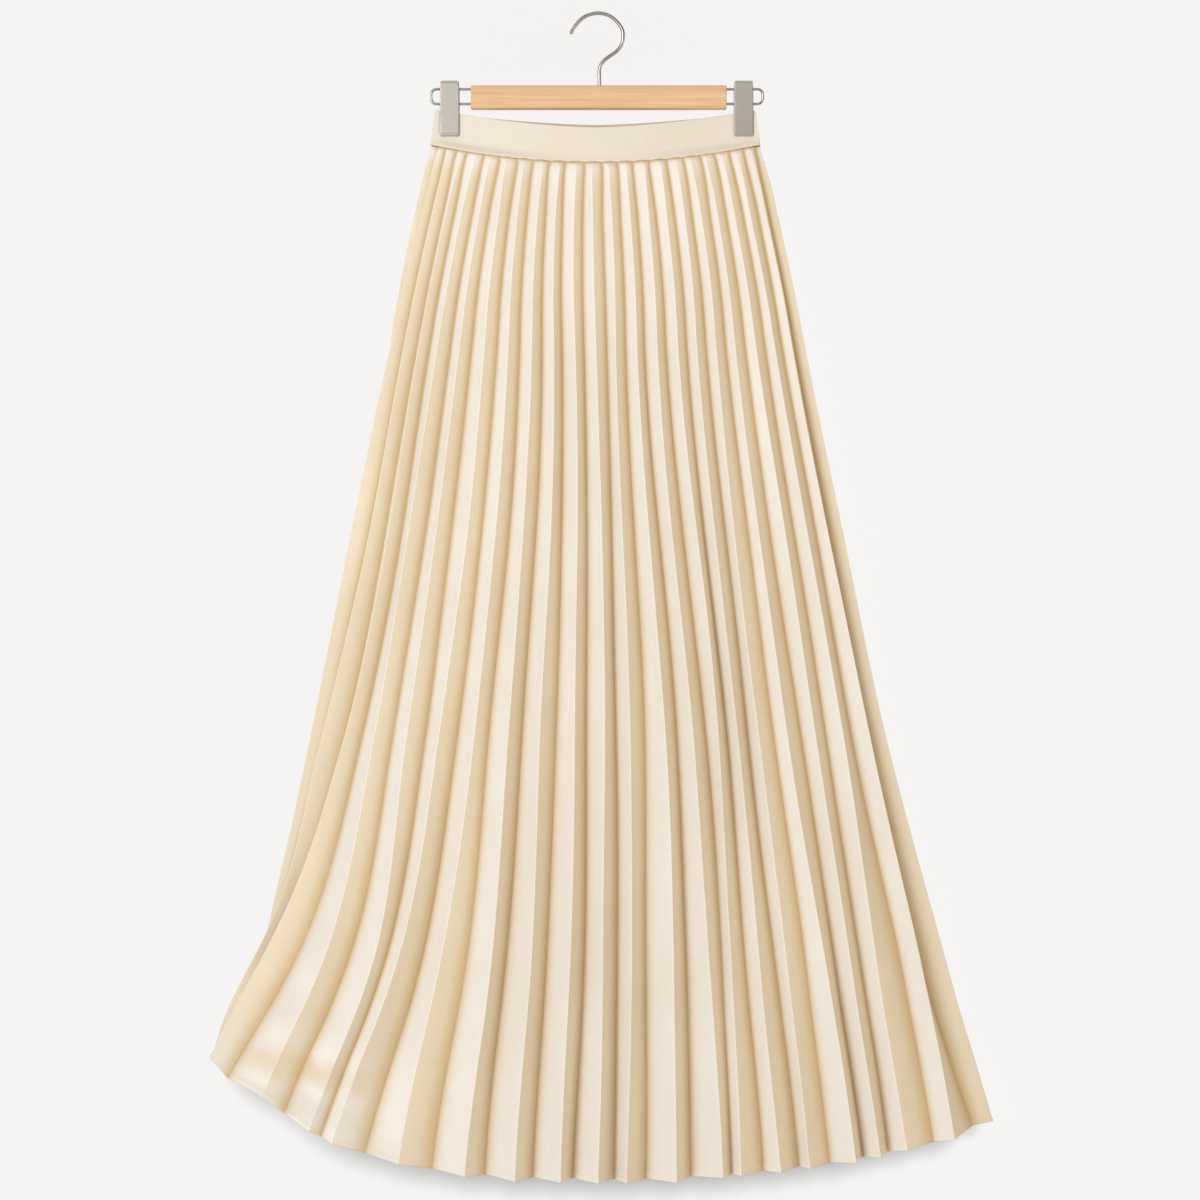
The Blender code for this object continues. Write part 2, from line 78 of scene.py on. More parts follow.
def smooth(at, knots, values):
    """Cubic through the values at the knots: each span blends its two ends and their slopes."""
    knots = np.asarray(knots, float)
    values = np.asarray(values, float)
    slopes = np.gradient(values, knots)
    i = np.clip(np.searchsorted(knots, at) - 1, 0, len(knots) - 2)
    step = knots[i + 1] - knots[i]
    t = np.clip((at - knots[i]) / step, 0.0, 1.0)
    start = (1 + 2 * t) * (1 - t) ** 2 * values[i] + t * (1 - t) ** 2 * step * slopes[i]
    end = t * t * (3 - 2 * t) * values[i + 1] + t * t * (t - 1) * step * slopes[i + 1]
    return start + end


def ramp(value, low, high):
    """0 up to low, 1 from high on, and t squared times (3 - 2t) between them."""
    t = np.clip((value - low) / (high - low), 0.0, 1.0)
    return t * t * (3 - 2 * t)


def bump(value, centre, half):
    """1 at the centre, falling evenly to 0 at half either side: the square of 1 minus the squared share."""
    share = np.clip((value - centre) / half, -1.0, 1.0)
    return (1 - share ** 2) ** 2


def lengths(vectors):
    """Length of each vector in the last axis, kept as an axis of its own."""
    return np.linalg.norm(vectors, axis=-1, keepdims=True)


def run_along(line):
    """Length run along a line of points, up to each of them."""
    return np.append(0.0, np.cumsum(lengths(np.diff(line, axis=0))))


def pulled_in(distance, radius):
    """How far a rounded edge pulls in at a distance d from its end: r - sqrt(r^2 - (r - d)^2)."""
    return radius - np.sqrt(radius ** 2 - (radius - np.minimum(distance, radius)) ** 2)


print("ramp half way up", float(ramp(0.5, 0.0, 1.0)))

# %% [markdown]
# ## From a grid of points to a piece
# Each new surface is a grid: rows one way, columns the other. One helper joins neighbours into
# quads, one makes the mesh with its UV map and attributes, and one hands the piece to the frame, so
# that it rides on the body and stands for its solid.

# %% Grids, meshes and pieces
def grid_faces(rows, columns, around=False, start=0):
    """Quads between neighbours of a grid; around also joins the last column to the first."""
    index = start + np.arange(rows * columns).reshape(rows, columns)
    if around:
        index = np.concatenate([index, index[:, :1]], 1)
    quads = np.stack([index[:-1, :-1], index[1:, :-1], index[1:, 1:], index[:-1, 1:]], -1)
    return quads.reshape(-1, 4)


def make_piece(name, points, faces, material, uv=None, values=None):
    """Mesh piece from points in millimetres and blocks of faces, with UVs in metres and named values."""
    points = np.asarray(points, float).reshape(-1, 3) * MM
    mesh = bpy.data.meshes.new(name)
    mesh.from_pydata(points.tolist(), [], [face for block in faces for face in block.tolist()])
    mesh.polygons.foreach_set("use_smooth", np.ones(len(mesh.polygons), bool))
    if uv is not None:
        corners = np.empty(len(mesh.loops), np.int32)
        mesh.loops.foreach_get("vertex_index", corners)
        layer = mesh.uv_layers.new(name="UVMap")
        layer.data.foreach_set("uv", np.asarray(uv, float).reshape(-1, 2)[corners].ravel())
    for label, numbers in (values or {}).items():
        attribute = mesh.attributes.new(label, "FLOAT", "POINT")
        attribute.data.foreach_set("value", np.asarray(numbers, np.float32).ravel())
    mesh.materials.append(material)
    mesh.update()
    piece = bpy.data.objects.new(name, mesh)
    bpy.context.scene.collection.objects.link(piece)
    print(name, len(mesh.vertices), "points,", len(mesh.polygons), "faces")
    return piece


def signed_volume(points, faces):
    """Volume inside quads that all wind the same way: a sixth of the sum of a . (b x c) over triangles."""
    corners = points[faces]
    a = corners[:, 0]
    halves = (np.cross(corners[:, 1], corners[:, 2]), np.cross(corners[:, 2], corners[:, 3]))
    return sum((a * half).sum() for half in halves) / 6


def loft(name, rings, material, uv=None, values=None):
    """Closed form through rings of points, with a fan to the middle of each end ring, wound outwards."""
    rows, columns = rings.shape[:2]
    count = rows * columns
    points = np.concatenate([rings.reshape(-1, 3), rings[:1].mean(1), rings[-1:].mean(1)])
    here = np.arange(columns)
    ahead = np.roll(here, -1)
    sides = grid_faces(rows, columns, around=True)
    first = np.stack([here, ahead, np.full(columns, count)], -1)
    last = np.stack([ahead, here, np.full(columns, columns + 1)], -1) + count - columns
    blocks = [sides, first, last]
    if signed_volume(points, sides) < 0:
        blocks = [block[:, ::-1] for block in blocks]
    if uv is not None:
        uv = np.concatenate([np.reshape(uv, (-1, 2)), uv[:1].mean(1), uv[-1:].mean(1)])
    values = {label: np.append(numbers, (0, 0)) for label, numbers in (values or {}).items()}
    return make_piece(name, points, blocks, material, uv, values)


def hand_over(piece, slot, *nodes):
    """The piece rides on the one body and stands for its solids; slot is not used."""
    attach(piece, "root")
    if nodes:
        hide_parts(*nodes)
    return piece


print("a grid of 3 rows and 4 columns has", len(grid_faces(3, 4)), "quads")

# %% [markdown]
# ## Nodes in a few words
# A material is a tree of nodes, and building one by hand takes three lines for each node. These
# helpers make a node, set its inputs and link it in one call: an input is given as a number, a
# colour, or the socket that feeds it.

# %% Node helpers
def set_inputs(tree, node, **inputs):
    """Sets inputs, called by their names or by i and a number, to values or to links from sockets."""
    for key, value in inputs.items():
        socket = node.inputs[int(key[1:])] if key[1:].isdigit() else node.inputs[key.replace("_", " ")]
        if isinstance(value, bpy.types.NodeSocket):
            tree.links.new(value, socket)
        else:
            socket.default_value = value


def add_node(tree, kind, settings=None, **inputs):
    """Node of a kind with its settings and its inputs."""
    node = tree.nodes.new(kind)
    for key, value in (settings or {}).items():
        setattr(node, key, value)
    set_inputs(tree, node, **inputs)
    return node


def maths(tree, operation, a, b=0.0):
    """Result socket of a Math node."""
    return add_node(tree, "ShaderNodeMath", {"operation": operation}, i0=a, i1=b).outputs[0]


def times(tree, a, b):
    """Product of two numbers or sockets."""
    return maths(tree, "MULTIPLY", a, b)


def spread(tree, value, low, high, to_low=0.0, to_high=1.0):
    """Value carried from one range to another, held at its ends."""
    return add_node(tree, "ShaderNodeMapRange", i0=value, i1=low, i2=high, i3=to_low, i4=to_high).outputs[0]


def mix_colours(tree, share, first, second):
    """Mix of two colours by a share, each a socket or three numbers."""
    first, second = ((*colour, 1.0) if isinstance(colour, tuple) else colour for colour in (first, second))
    return add_node(tree, "ShaderNodeMix", {"data_type": "RGBA"}, i0=share, i6=first, i7=second).outputs[2]


def fine_bump(tree, strength, distance, height):
    """Normal moved by a height, as deep as the distance in metres."""
    return add_node(tree, "ShaderNodeBump", Strength=strength, Distance=distance, Height=height).outputs[0]


def new_material(name):
    """Material with its node tree and its Principled shader."""
    mat = bpy.data.materials.new(name)
    mat.use_nodes = True
    return mat, mat.node_tree, mat.node_tree.nodes["Principled BSDF"]


print("materials that came with the frame", len(bpy.data.materials))

# %% [markdown]
# ## Effects that materials share
# Three effects come back in several materials, so each is a node group that puts out only masks and
# heights. The weave reads the cloth's own UV map, so that it follows the pleats. Streaks are noise
# pulled long in one way, for brushed steel and wood. Mottle is soft clouds that keep a wide surface
# alive.

# %% Node groups
def new_group(name, inputs, outputs):
    """Empty shader group with float inputs as (name, default) and float outputs by name."""
    group = bpy.data.node_groups.new(name, "ShaderNodeTree")
    for label, default in inputs:
        socket = group.interface.new_socket(label, in_out="INPUT", socket_type="NodeSocketFloat")
        socket.default_value = default
    for label in outputs:
        group.interface.new_socket(label, in_out="OUTPUT", socket_type="NodeSocketFloat")
    return group, group.nodes.new("NodeGroupInput").outputs, group.nodes.new("NodeGroupOutput")


def use_group(tree, group, **inputs):
    """Places a node group in a tree, with its inputs set by name."""
    return add_node(tree, "ShaderNodeGroup", {"node_tree": group}, **inputs).outputs


def make_weave():
    """Satin weave from the UV map: 0.6 of a sine on a slant, for the floats, and 0.4 of one downwards."""
    group, given, out = new_group("satin_weave", (("Threads", 2600.0), ("Slub", 60.0)), ("Height", "Slubs"))
    uv = add_node(group, "ShaderNodeUVMap").outputs[0]
    u, v, _ = add_node(group, "ShaderNodeSeparateXYZ", i0=uv).outputs
    across = times(group, u, given["Threads"])
    down = times(group, v, given["Threads"])
    floats = maths(group, "SINE", maths(group, "ADD", across, times(group, down, 0.35)))
    picks = maths(group, "SINE", down)
    height = maths(group, "ADD", times(group, floats, 0.6), times(group, picks, 0.4))
    stretched = add_node(group, "ShaderNodeMapping", i0=uv, Scale=(1.0, 0.12, 1.0)).outputs[0]
    slubs = add_node(group, "ShaderNodeTexNoise", Vector=stretched, Scale=given["Slub"],
                     Detail=3.0, Roughness=0.6)
    set_inputs(group, out, Height=height, Slubs=slubs.outputs[0])
    return group


def make_streaks():
    """Long streaks: noise on Object coordinates, scaled high across and low along.

    Upright turns them: along is z times Upright plus x times the rest, and across the other way.
    """
    inputs = (("Across", 900.0), ("Along", 14.0), ("Upright", 0.0))
    group, given, out = new_group("streaks", inputs, ("Streak", "Broad"))
    x, y, z = add_node(group, "ShaderNodeSeparateXYZ",
                       i0=add_node(group, "ShaderNodeTexCoord").outputs["Object"]).outputs
    upright = given["Upright"]
    level = maths(group, "SUBTRACT", 1.0, upright)
    along, across = (maths(group, "ADD", times(group, standing, upright), times(group, lying, level))
                     for standing, lying in ((z, x), (x, z)))
    scaled = add_node(group, "ShaderNodeCombineXYZ", i0=times(group, along, given["Along"]),
                      i1=times(group, across, given["Across"]),
                      i2=times(group, y, given["Across"])).outputs[0]
    fine = add_node(group, "ShaderNodeTexNoise", Vector=scaled, Scale=1.0, Detail=2.0)
    broad = add_node(group, "ShaderNodeTexNoise", Vector=scaled, Scale=0.22, Detail=4.0, Distortion=0.6)
    set_inputs(group, out, Streak=fine.outputs[0], Broad=broad.outputs[0])
    return group


def make_mottle():
    """Soft clouds from noise on Object coordinates."""
    group, given, out = new_group("mottle", (("Size", 12.0),), ("Cloud",))
    place = add_node(group, "ShaderNodeTexCoord").outputs["Object"]
    cloud = add_node(group, "ShaderNodeTexNoise", Vector=place, Scale=given["Size"], Detail=3.0)
    set_inputs(group, out, Cloud=cloud.outputs[0])
    return group


WEAVE = make_weave()
STREAKS = make_streaks()
MOTTLE = make_mottle()
print("groups", [group.name for group in (WEAVE, STREAKS, MOTTLE)])

# %% [markdown]
# ## Satin cloth
# The skirt is a cream satin with a soft sheen, bright where a pleat faces the light. Its colour also
# holds painted light and shade: a painted warm tan shade in the folds, standing in for light bounced
# between two cream walls, a painted tan shade on the faces that look away from the light, and a
# painted highlight along each ridge. Two attributes of the mesh steer this painted light and shade.
# Fold is 0 on a ridge and 1 in a valley, and turn is 1 on the faces that look away from the light.
# The weave is a fine bump, and the slubs, which are threads a little thicker than the rest, move the
# roughness.

# %% Cloth materials
# Painted light and shade in the satin: the power of fold for the painted valley shade, then the depth and
# share of the painted ridge highlight; the slub and cloud tones are random tone
FOLD_POWER = 4.0
RIDGE_HIGHLIGHT_DEPTH = 0.05
RIDGE_HIGHLIGHT_SHARE = 0.7
SLUB_TONE = 0.05
CLOUD_TONE = 0.09


def make_satin(name, painted_ridge_highlight, ridge, turned, valley, roughness, gloss):
    """Satin cloth: its colour on faces turned left, with painted light and shade: a painted highlight on
    pressed creases, a painted shade on faces turned right, away from the light, and a painted shade in
    the valleys.

    The painted valley shade comes in by the fourth power of fold, and a little more, as random tone, by
    the slubs and by clouds.
    """
    mat, tree, shader = new_material(name)
    weave = use_group(tree, WEAVE)
    mottle = use_group(tree, MOTTLE, Size=9.0)
    fold, turn = (add_node(tree, "ShaderNodeAttribute", {"attribute_name": label}).outputs["Fac"]
                  for label in ("fold", "turn"))
    # Painted shade: faces turned away from the light take the darker tan turned colour by the turn value
    colour = mix_colours(tree, turn, ridge, turned)
    # Painted shade in the valleys by a power of fold; the slubs and clouds add a little random tone towards
    # the same colour
    for share in (maths(tree, "POWER", fold, FOLD_POWER),
                  spread(tree, weave["Slubs"], 0.35, 0.65, 0.0, SLUB_TONE),
                  spread(tree, mottle["Cloud"], 0.35, 0.65, 0.0, CLOUD_TONE)):
        colour = mix_colours(tree, share, colour, valley)
    # Painted highlight: the near-white colour along each ridge, where fold is below the highlight depth
    colour = mix_colours(tree, spread(tree, fold, 0.0, RIDGE_HIGHLIGHT_DEPTH, RIDGE_HIGHLIGHT_SHARE, 0.0), colour, painted_ridge_highlight)
    set_inputs(tree, shader, Base_Color=colour, Specular_IOR_Level=gloss, Sheen_Weight=0.07,
               Sheen_Roughness=0.4, Sheen_Tint=(1.0, 0.96, 0.9, 1.0),
               Roughness=spread(tree, weave["Slubs"], 0.3, 0.7, roughness - 0.04, roughness + 0.05),
               Normal=fine_bump(tree, 0.12, 0.0001, weave["Height"]))
    return mat


def make_thread(name):
    """Sewing thread: two creams mixed by small clouds."""
    mat, tree, shader = new_material(name)
    cloud = use_group(tree, MOTTLE, Size=400.0)["Cloud"]
    set_inputs(tree, shader, Base_Color=mix_colours(tree, cloud, (0.9, 0.8, 0.63), (0.8, 0.66, 0.46)),
               Roughness=0.55)
    return mat


# Cloth colours: the first is a painted ridge highlight, turned is a painted shade for faces turned from the
# light, valley is a painted shade in the folds; the band uses one cream for all but its painted valley
# shade
BAND_CREAM = (0.775, 0.72, 0.635)
SATIN = make_satin("cream satin", painted_ridge_highlight=(0.96, 0.94, 0.90), ridge=(0.82, 0.785, 0.735),
                   turned=(0.80, 0.695, 0.53), valley=(0.57, 0.395, 0.18), roughness=0.42, gloss=0.25)
BAND_SATIN = make_satin("cream band satin", painted_ridge_highlight=BAND_CREAM, ridge=BAND_CREAM, turned=BAND_CREAM,
                        valley=(0.66, 0.50, 0.30), roughness=0.50, gloss=0.2)
THREAD = make_thread("cream thread")
print("cloth", SATIN.name, BAND_SATIN.name, THREAD.name)

# %% [markdown]
# ## The folds
# A sunray pleat widens from waist to hem, and each one hangs its own way. So the front has a table
# with a row for each ridge: where it is at the waist seam, at the hip, the knee, the calf and the
# hem, how low it ends, and what share of the gap to the ridge before it the valley takes, high and
# low. A section table gives the skirt's width and depth at each height. A drop is a distance below
# the hook's rest.

# %% Tables of the skirt's sections and ridges
SEAM_GAP = 0.3
# The camera's distance from the plane of the side seams, and its drop
SIGHT_DISTANCE = 3000.0
SIGHT_DROP = 585.0
# Left and right ends of the waistband, and the seam's drop, sag and depth
BAND_TOP_ENDS = (-165.3, 156.0)
BAND_SEAM_ENDS = (-169.5, 160.5)
SEAM_DROP = 130.4
SEAM_SAG = 16.8
SEAM_DEPTH = 16.0
SECTION_COLUMNS = ("drop", "left", "right", "depth", "roundness")
SECTIONS = (
    (130, -169.5, 160.5, SEAM_DEPTH, 2.00),
    (165, -178, 171, 19, 2.10),
    (210, -188, 181, 23, 2.20),
    (285, -204, 197, 30, 2.30),
    (335, -214, 206.5, 34, 2.30),
    (535, -252, 248, 51, 2.30),
    (735, -295, 292, 66, 2.30),
    (835, -319, 317, 75, 2.30),
    (935, -348, 344, 84, 2.30),
    (985, -365, 358, 88, 2.30),
    (1043, -386, 376, 92, 2.30),
    (1106, -403, 395, 96, 2.30),
    (1180, -414, 415, 99, 2.30),
)
HIP_DROP = 335
KNEE_DROP = 735
CALF_DROP = 935
RIDGE_COLUMNS = ("seam", "hip", "knee", "calf", "hem", "hem_drop", "left_high", "left_low")
RIDGES = (
    (-168, -216, -320, -385, -462, 1068, 0.50, 0.50),
    (-161, -211, -296, -360, -428, 1052, 0.50, 0.50),
    (-152, -197, -281, -345, -396, 1046, 0.57, 0.50),
    (-139, -182, -261, -336, -393, 1043, 0.39, 0.45),
    (-125, -163, -230, -276, -344, 1082, 0.55, 0.47),
    (-109, -141, -195, -227, -295, 1116, 0.40, 0.51),
    (-92, -116, -163, -201, -271, 1128, 0.48, 0.50),
    (-75, -92, -129, -158, -203, 1149, 0.42, 0.49),
    (-57, -68, -94, -109, -136, 1162, 0.50, 0.49),
    (-41, -46, -60, -70, -86, 1167, 0.50, 0.60),
    (-24, -25, -25, -29, -41, 1168, 0.57, 0.57),
    (-7, -4, 4, 4, -2, 1169, 0.48, 0.60),
    (9, 16, 30, 31, 28, 1169, 0.50, 0.53),
    (25, 37, 67, 73, 77, 1168, 0.52, 0.64),
    (42, 57, 95, 110, 123, 1163, 0.58, 0.64),
    (58, 78, 120, 132, 143, 1161, 0.57, 0.42),
    (75, 97, 139, 159, 184, 1158, 0.53, 0.46),
    (90, 116, 160, 186, 211, 1154, 0.53, 0.30),
    (105, 135, 191, 225, 258, 1148, 0.40, 0.49),
    (120, 156, 219, 251, 284, 1143, 0.40, 0.56),
    (134, 175, 245, 277, 310, 1136, 0.27, 0.56),
    (149, 193, 273, 319, 357, 1125, 0.22, 0.30),
    (160, 206, 291, 343, 394, 1106, 0.18, 0.24),
)
# One pleat face across, at the seam and at the hem
FACE_AT_SEAM = 9.8
FACE_AT_HEM = 34.5
# A valley's depth is at least this, at most a share of the face, and held back near the waist
SHALLOWEST = 7.0
DEEPEST_SHARE = 0.76
FIRST_FOLD = 5.0
FOLD_GROWTH = 90.0
# The back pleats and their hem, lowest in the middle, which rises by a power of the place across
BACK_PLEATS = 23
BACK_UNEVEN = 0.16
BACK_HEM_MIDDLE = 1150.0
BACK_HEM_LEFT = 1046.0
BACK_HEM_RIGHT = 1106.0
BACK_HEM_POWER_LEFT = 1.7
BACK_HEM_POWER_RIGHT = 2.2
# The section's sides are pushed in most at their very edge
EDGE_POWER = 6
# The lower left swings forward, and its valleys relax
SWING = 64.0
SWING_PLACE = (-130.0, -390.0)
SWING_DROP = (760.0, 1060.0)
RELAXED = 0.45
RELAX_PLACE = (-200.0, -260.0)
RELAX_DROP = (990.0, 1110.0)
# Points along a section when its length is measured, and rounds of a search for a place
FINE_STEPS = 400
PASSES = 4
print(len(RIDGES), "front pleats and", BACK_PLEATS, "back pleats")

# %% [markdown]
# ### Round the section
# The section is a superellipse: a little squarer than an ellipse, and flat, as cloth is that hangs
# from a flat waist. What the camera sees at a place across is a little nearer than the plane of the
# side seams, so a place is moved by its depth over the camera's distance.

# %% Places round the skirt
def sighted(seen, centre, depth):
    """A sighted place brought to its real one at a depth of y behind the plane of the seams."""
    return centre + (seen - centre) * (1 + depth / SIGHT_DISTANCE)


def section(drop):
    """Left edge, right edge, half depth and roundness of the skirt at a drop."""
    table = dict(zip(SECTION_COLUMNS, np.array(SECTIONS, float).T))
    return [smooth(drop, table["drop"], table[name]) for name in SECTION_COLUMNS[1:]]


def round_to_angle(place, drop):
    """Angle round the section of a place across the front: 0 is the left edge, pi the right edge."""
    left, right, _, roundness = section(drop)
    share = np.where(place < 0, place / left, place / right)
    beyond = share > 1
    inside = np.where(beyond, 2 - share, share)
    angle = np.arccos(np.clip(inside, 0, 1) ** (roundness / 2))
    angle = np.where(beyond, -angle, angle)
    return np.where(place < 0, angle, math.pi - angle)


def swing(place, drop):
    """How far the lower left of the skirt comes forward."""
    return SWING * ramp(-place, -SWING_PLACE[0], -SWING_PLACE[1]) * ramp(drop, *SWING_DROP)


def angle_to_round(angle, drop, inward):
    """Point at an angle round the superellipse, a distance inside its line."""
    left, right, depth, roundness = section(drop)
    across = np.cos(angle)
    through = np.sin(angle)
    out = np.abs(across) ** (2 / roundness)
    x = -np.sign(across) * (out * np.where(across > 0, -left, right) - inward * out ** EDGE_POWER)
    y = -np.sign(through) * np.abs(through) ** (2 / roundness) * (depth - inward)
    return x, y - swing(x, drop)


def band_share(place):
    """Place along the waistband seam, from -1 at the left end to 1 at the right end."""
    left, right = BAND_SEAM_ENDS
    return np.clip((2 * place - left - right) / (right - left), -1, 1)


def seam_line(place):
    """Real drop of the seam between the waistband and the pleats, a parabola that sags in the middle."""
    bow = 1 - band_share(place) ** 2
    return sighted(SEAM_DROP + SEAM_SAG * bow, SIGHT_DROP, -SEAM_DEPTH * bow)


print("section at the knee", [round(float(v), 1) for v in section(KNEE_DROP)])

# %% [markdown]
# ### Ridges, then valleys
# The front ridges follow their table. The back ones, which nobody has measured, share out the rest
# of the section in slightly uneven widths. A valley's depth comes from the cloth itself: half the
# pitch and the depth are the two short sides of a triangle whose long side is the width of one
# pleat face.

# %% The ring of folds
def ridge_table():
    """Columns of the front ridges' table by name."""
    return dict(zip(RIDGE_COLUMNS, np.array(RIDGES, float).T))


def front_ridges(along):
    """Angles and real drops of the front ridges, one row for each step along the skirt."""
    seam_seen = SEAM_DROP + SEAM_SAG * (1 - band_share(ridge_table()["seam"]) ** 2) + SEAM_GAP
    angles = []
    drops = []
    for (seam, hip, knee, calf, hem, hem_drop, _, _), start in zip(RIDGES, seam_seen):
        knots = np.array((start, HIP_DROP, KNEE_DROP, CALF_DROP, hem_drop), float)
        places = np.array((seam, hip, knee, calf, hem), float)
        turned = round_to_angle(places, knots)
        for _ in range(PASSES):
            _, depth = angle_to_round(turned, knots, 0.0)
            turned = round_to_angle(sighted(places, 0.0, depth), knots)
        seen_drop = start + along * (hem_drop - start)
        angle = smooth(seen_drop, knots, turned)
        x, depth = angle_to_round(angle, seen_drop, 0.0)
        drop = sighted(seen_drop, SIGHT_DROP, depth)
        drop += (seam_line(x[0]) + SEAM_GAP - drop[0]) * (1 - along)
        angles.append(angle)
        drops.append(drop)
    return np.stack(angles, 1), np.stack(drops, 1)


def back_hem_line(place):
    """Real drop of the hem across the back, lowest in the middle."""
    left, right, _, _ = section(BACK_HEM_MIDDLE)
    to_left = (BACK_HEM_MIDDLE - BACK_HEM_LEFT) * np.abs(place / left) ** BACK_HEM_POWER_LEFT
    to_right = (BACK_HEM_MIDDLE - BACK_HEM_RIGHT) * np.abs(place / right) ** BACK_HEM_POWER_RIGHT
    return BACK_HEM_MIDDLE - np.where(place < 0, to_left, to_right)


def back_ridges(along, first, last):
    """Angles and drops of the back ridges, spaced along the section from the last front ridge round."""
    turns = np.arange(BACK_PLEATS + 1)
    widths = 1 + BACK_UNEVEN * (np.sin(2.3 * turns + 0.7) + 0.7 * np.sin(5.1 * turns + 2.0))
    shares = np.cumsum(widths)[:-1] / widths.sum()
    angles = []
    for step, start, end in zip(along, last, first + 2 * math.pi):
        fine = np.linspace(start, end, FINE_STEPS)
        drop = SEAM_DROP + step * (BACK_HEM_RIGHT - SEAM_DROP)
        x, y = angle_to_round(fine, drop, 0.0)
        run = run_along(np.stack([x, y], -1))
        angles.append(np.interp(shares * run[-1], run, fine))
    angles = np.array(angles)
    seam = np.full(BACK_PLEATS, SEAM_DROP)
    hem = np.full(BACK_PLEATS, BACK_HEM_RIGHT)
    for _ in range(PASSES):
        seam_x, _ = angle_to_round(angles[0], seam, 0.0)
        seam = seam_line(seam_x) + SEAM_GAP
        hem_x, _ = angle_to_round(angles[-1], hem, 0.0)
        hem = back_hem_line(hem_x)
    return angles, seam + along[:, None] * (hem - seam)


def fold_ring(along):
    """Every fold in order from the left seam round: valley, ridge, valley, ridge, and so on."""
    front_angle, front_drop = front_ridges(along)
    back_angle, back_drop = back_ridges(along, front_angle[:, 0], front_angle[:, -1])
    angle = np.concatenate([front_angle, back_angle], 1)
    drop = np.concatenate([front_drop, back_drop], 1)
    x, y = angle_to_round(angle, drop, 0.0)
    ridge = np.stack([x, y, -drop], 2)
    before = np.roll(ridge, 1, axis=1)
    angle_before = np.concatenate([angle[:, -1:] - 2 * math.pi, angle[:, :-1]], 1)

    halves = np.full(BACK_PLEATS, 0.5)
    left_high = np.concatenate([ridge_table()["left_high"], halves])
    left_low = np.concatenate([ridge_table()["left_low"], halves])
    left_share = left_high + (left_low - left_high) * along[:, None]

    pitch = lengths(ridge - before)[..., 0]
    face = FACE_AT_SEAM + (FACE_AT_HEM - FACE_AT_SEAM) * along[:, None]
    spare = face ** 2 - (pitch / 2) ** 2
    fold = np.sqrt((spare + np.hypot(spare, 2 * SHALLOWEST ** 2)) / 2)
    fold = np.minimum(fold, DEEPEST_SHARE * face)
    fold = np.minimum(fold, FIRST_FOLD + FOLD_GROWTH * along[:, None])
    relaxed = RELAXED * ramp(drop, *RELAX_DROP) * ramp(-x, -RELAX_PLACE[0], -RELAX_PLACE[1])
    relaxed[:, len(RIDGES):] = 0.0
    fold *= 1 - relaxed

    valley_angle = angle + (angle_before - angle) * left_share
    valley_z = ridge[..., 2] + (before[..., 2] - ridge[..., 2]) * left_share
    vx, vy = angle_to_round(valley_angle, -valley_z, fold)
    below_band = -(seam_line(vx[0]) + SEAM_GAP) - valley_z[0]
    valley = np.stack([vx, vy, valley_z + below_band * (1 - along[:, None])], 2)
    ring = np.empty((len(along), 2 * ridge.shape[1], 3))
    ring[:, 0::2] = valley
    ring[:, 1::2] = ridge
    return ring


print("front ridges at three steps", front_ridges(np.linspace(0, 1, 3))[0].shape)

# %% [markdown]
# ### Soft cloth
# Pressed pleats are straight only on the drawing board. Low on the left, broad waves run across
# them where the hem curls forward. Just under the waistband the pleats are caught in the seam, so
# they puff and stray a little, each by its own amount. And where a pleat gapes, its valley comes
# out towards the light.

# %% Rows down the skirt, waves and gapes
SEAM_ROWS = np.array([0.0, 0.002, 0.005, 0.009, 0.014, 0.020, 0.027, 0.035, 0.044, 0.054])
HEM_ROWS = np.array([0.975, 0.9842, 0.9915, 0.9943, 0.9949, 0.9955, 0.9975, 0.9993, 1.0])
LENGTH_ROWS = np.concatenate([SEAM_ROWS, np.linspace(0.065, 0.965, 100), HEM_ROWS])
# All valleys come out by this share near the waist
HIGH_SHARE = 0.40
HIGH_ROWS = (0.0, 0.22)
GAPING = (
    # valley, drop in its middle, half its length, share taken off its depth
    (5, 690, 260, 0.30),
    (6, 690, 300, 0.32),
    (7, 560, 330, 0.36),
    (8, 860, 460, 0.30),
    (2, 1060, 170, 0.40),
    (3, 1075, 180, 0.45),
    (4, 1090, 180, 0.25),
    (5, 1100, 180, 0.40),
    (6, 985, 165, 0.42),
    (6, 1120, 180, 0.25),
    (15, 1060, 300, 0.42),
    (16, 1040, 320, 0.30),
    (17, 1000, 300, 0.22),
    (18, 860, 620, 0.38),
    (19, 400, 170, 0.25),
    (21, 1060, 300, 0.32),
    (22, 900, 600, 0.45),
)
WAVES = (
    # place across, drop, half width, half height, forward, slant in drop for each mm across
    (-305, 1004, 115, 46, 7.0, 0.30),
    (-285, 1056, 120, 32, -10.0, 0.25),
    (-262, 1100, 90, 30, 5.0, 0.40),
    (-180, 1095, 60, 70, 3.0, 0.10),
    (-205, 1010, 40, 80, -2.5, 0.00),
    (-330, 960, 40, 70, 2.5, 0.60),
    (120, 1080, 60, 110, 2.0, -0.05),
    (300, 1060, 55, 90, -2.5, -0.30),
)
# From front to back, where the waves fade out
WAVES_END = (-40.0, 25.0)
# Rows are shares of the way down the skirt
PUFF_ROWS = (0.0, 0.008, 0.045)
STRAY = 0.9
STRAY_ROWS = (0.0, 0.6)
PINCH = 1.3
PINCH_ROWS = (0.0, 0.006, 0.008, 0.06)


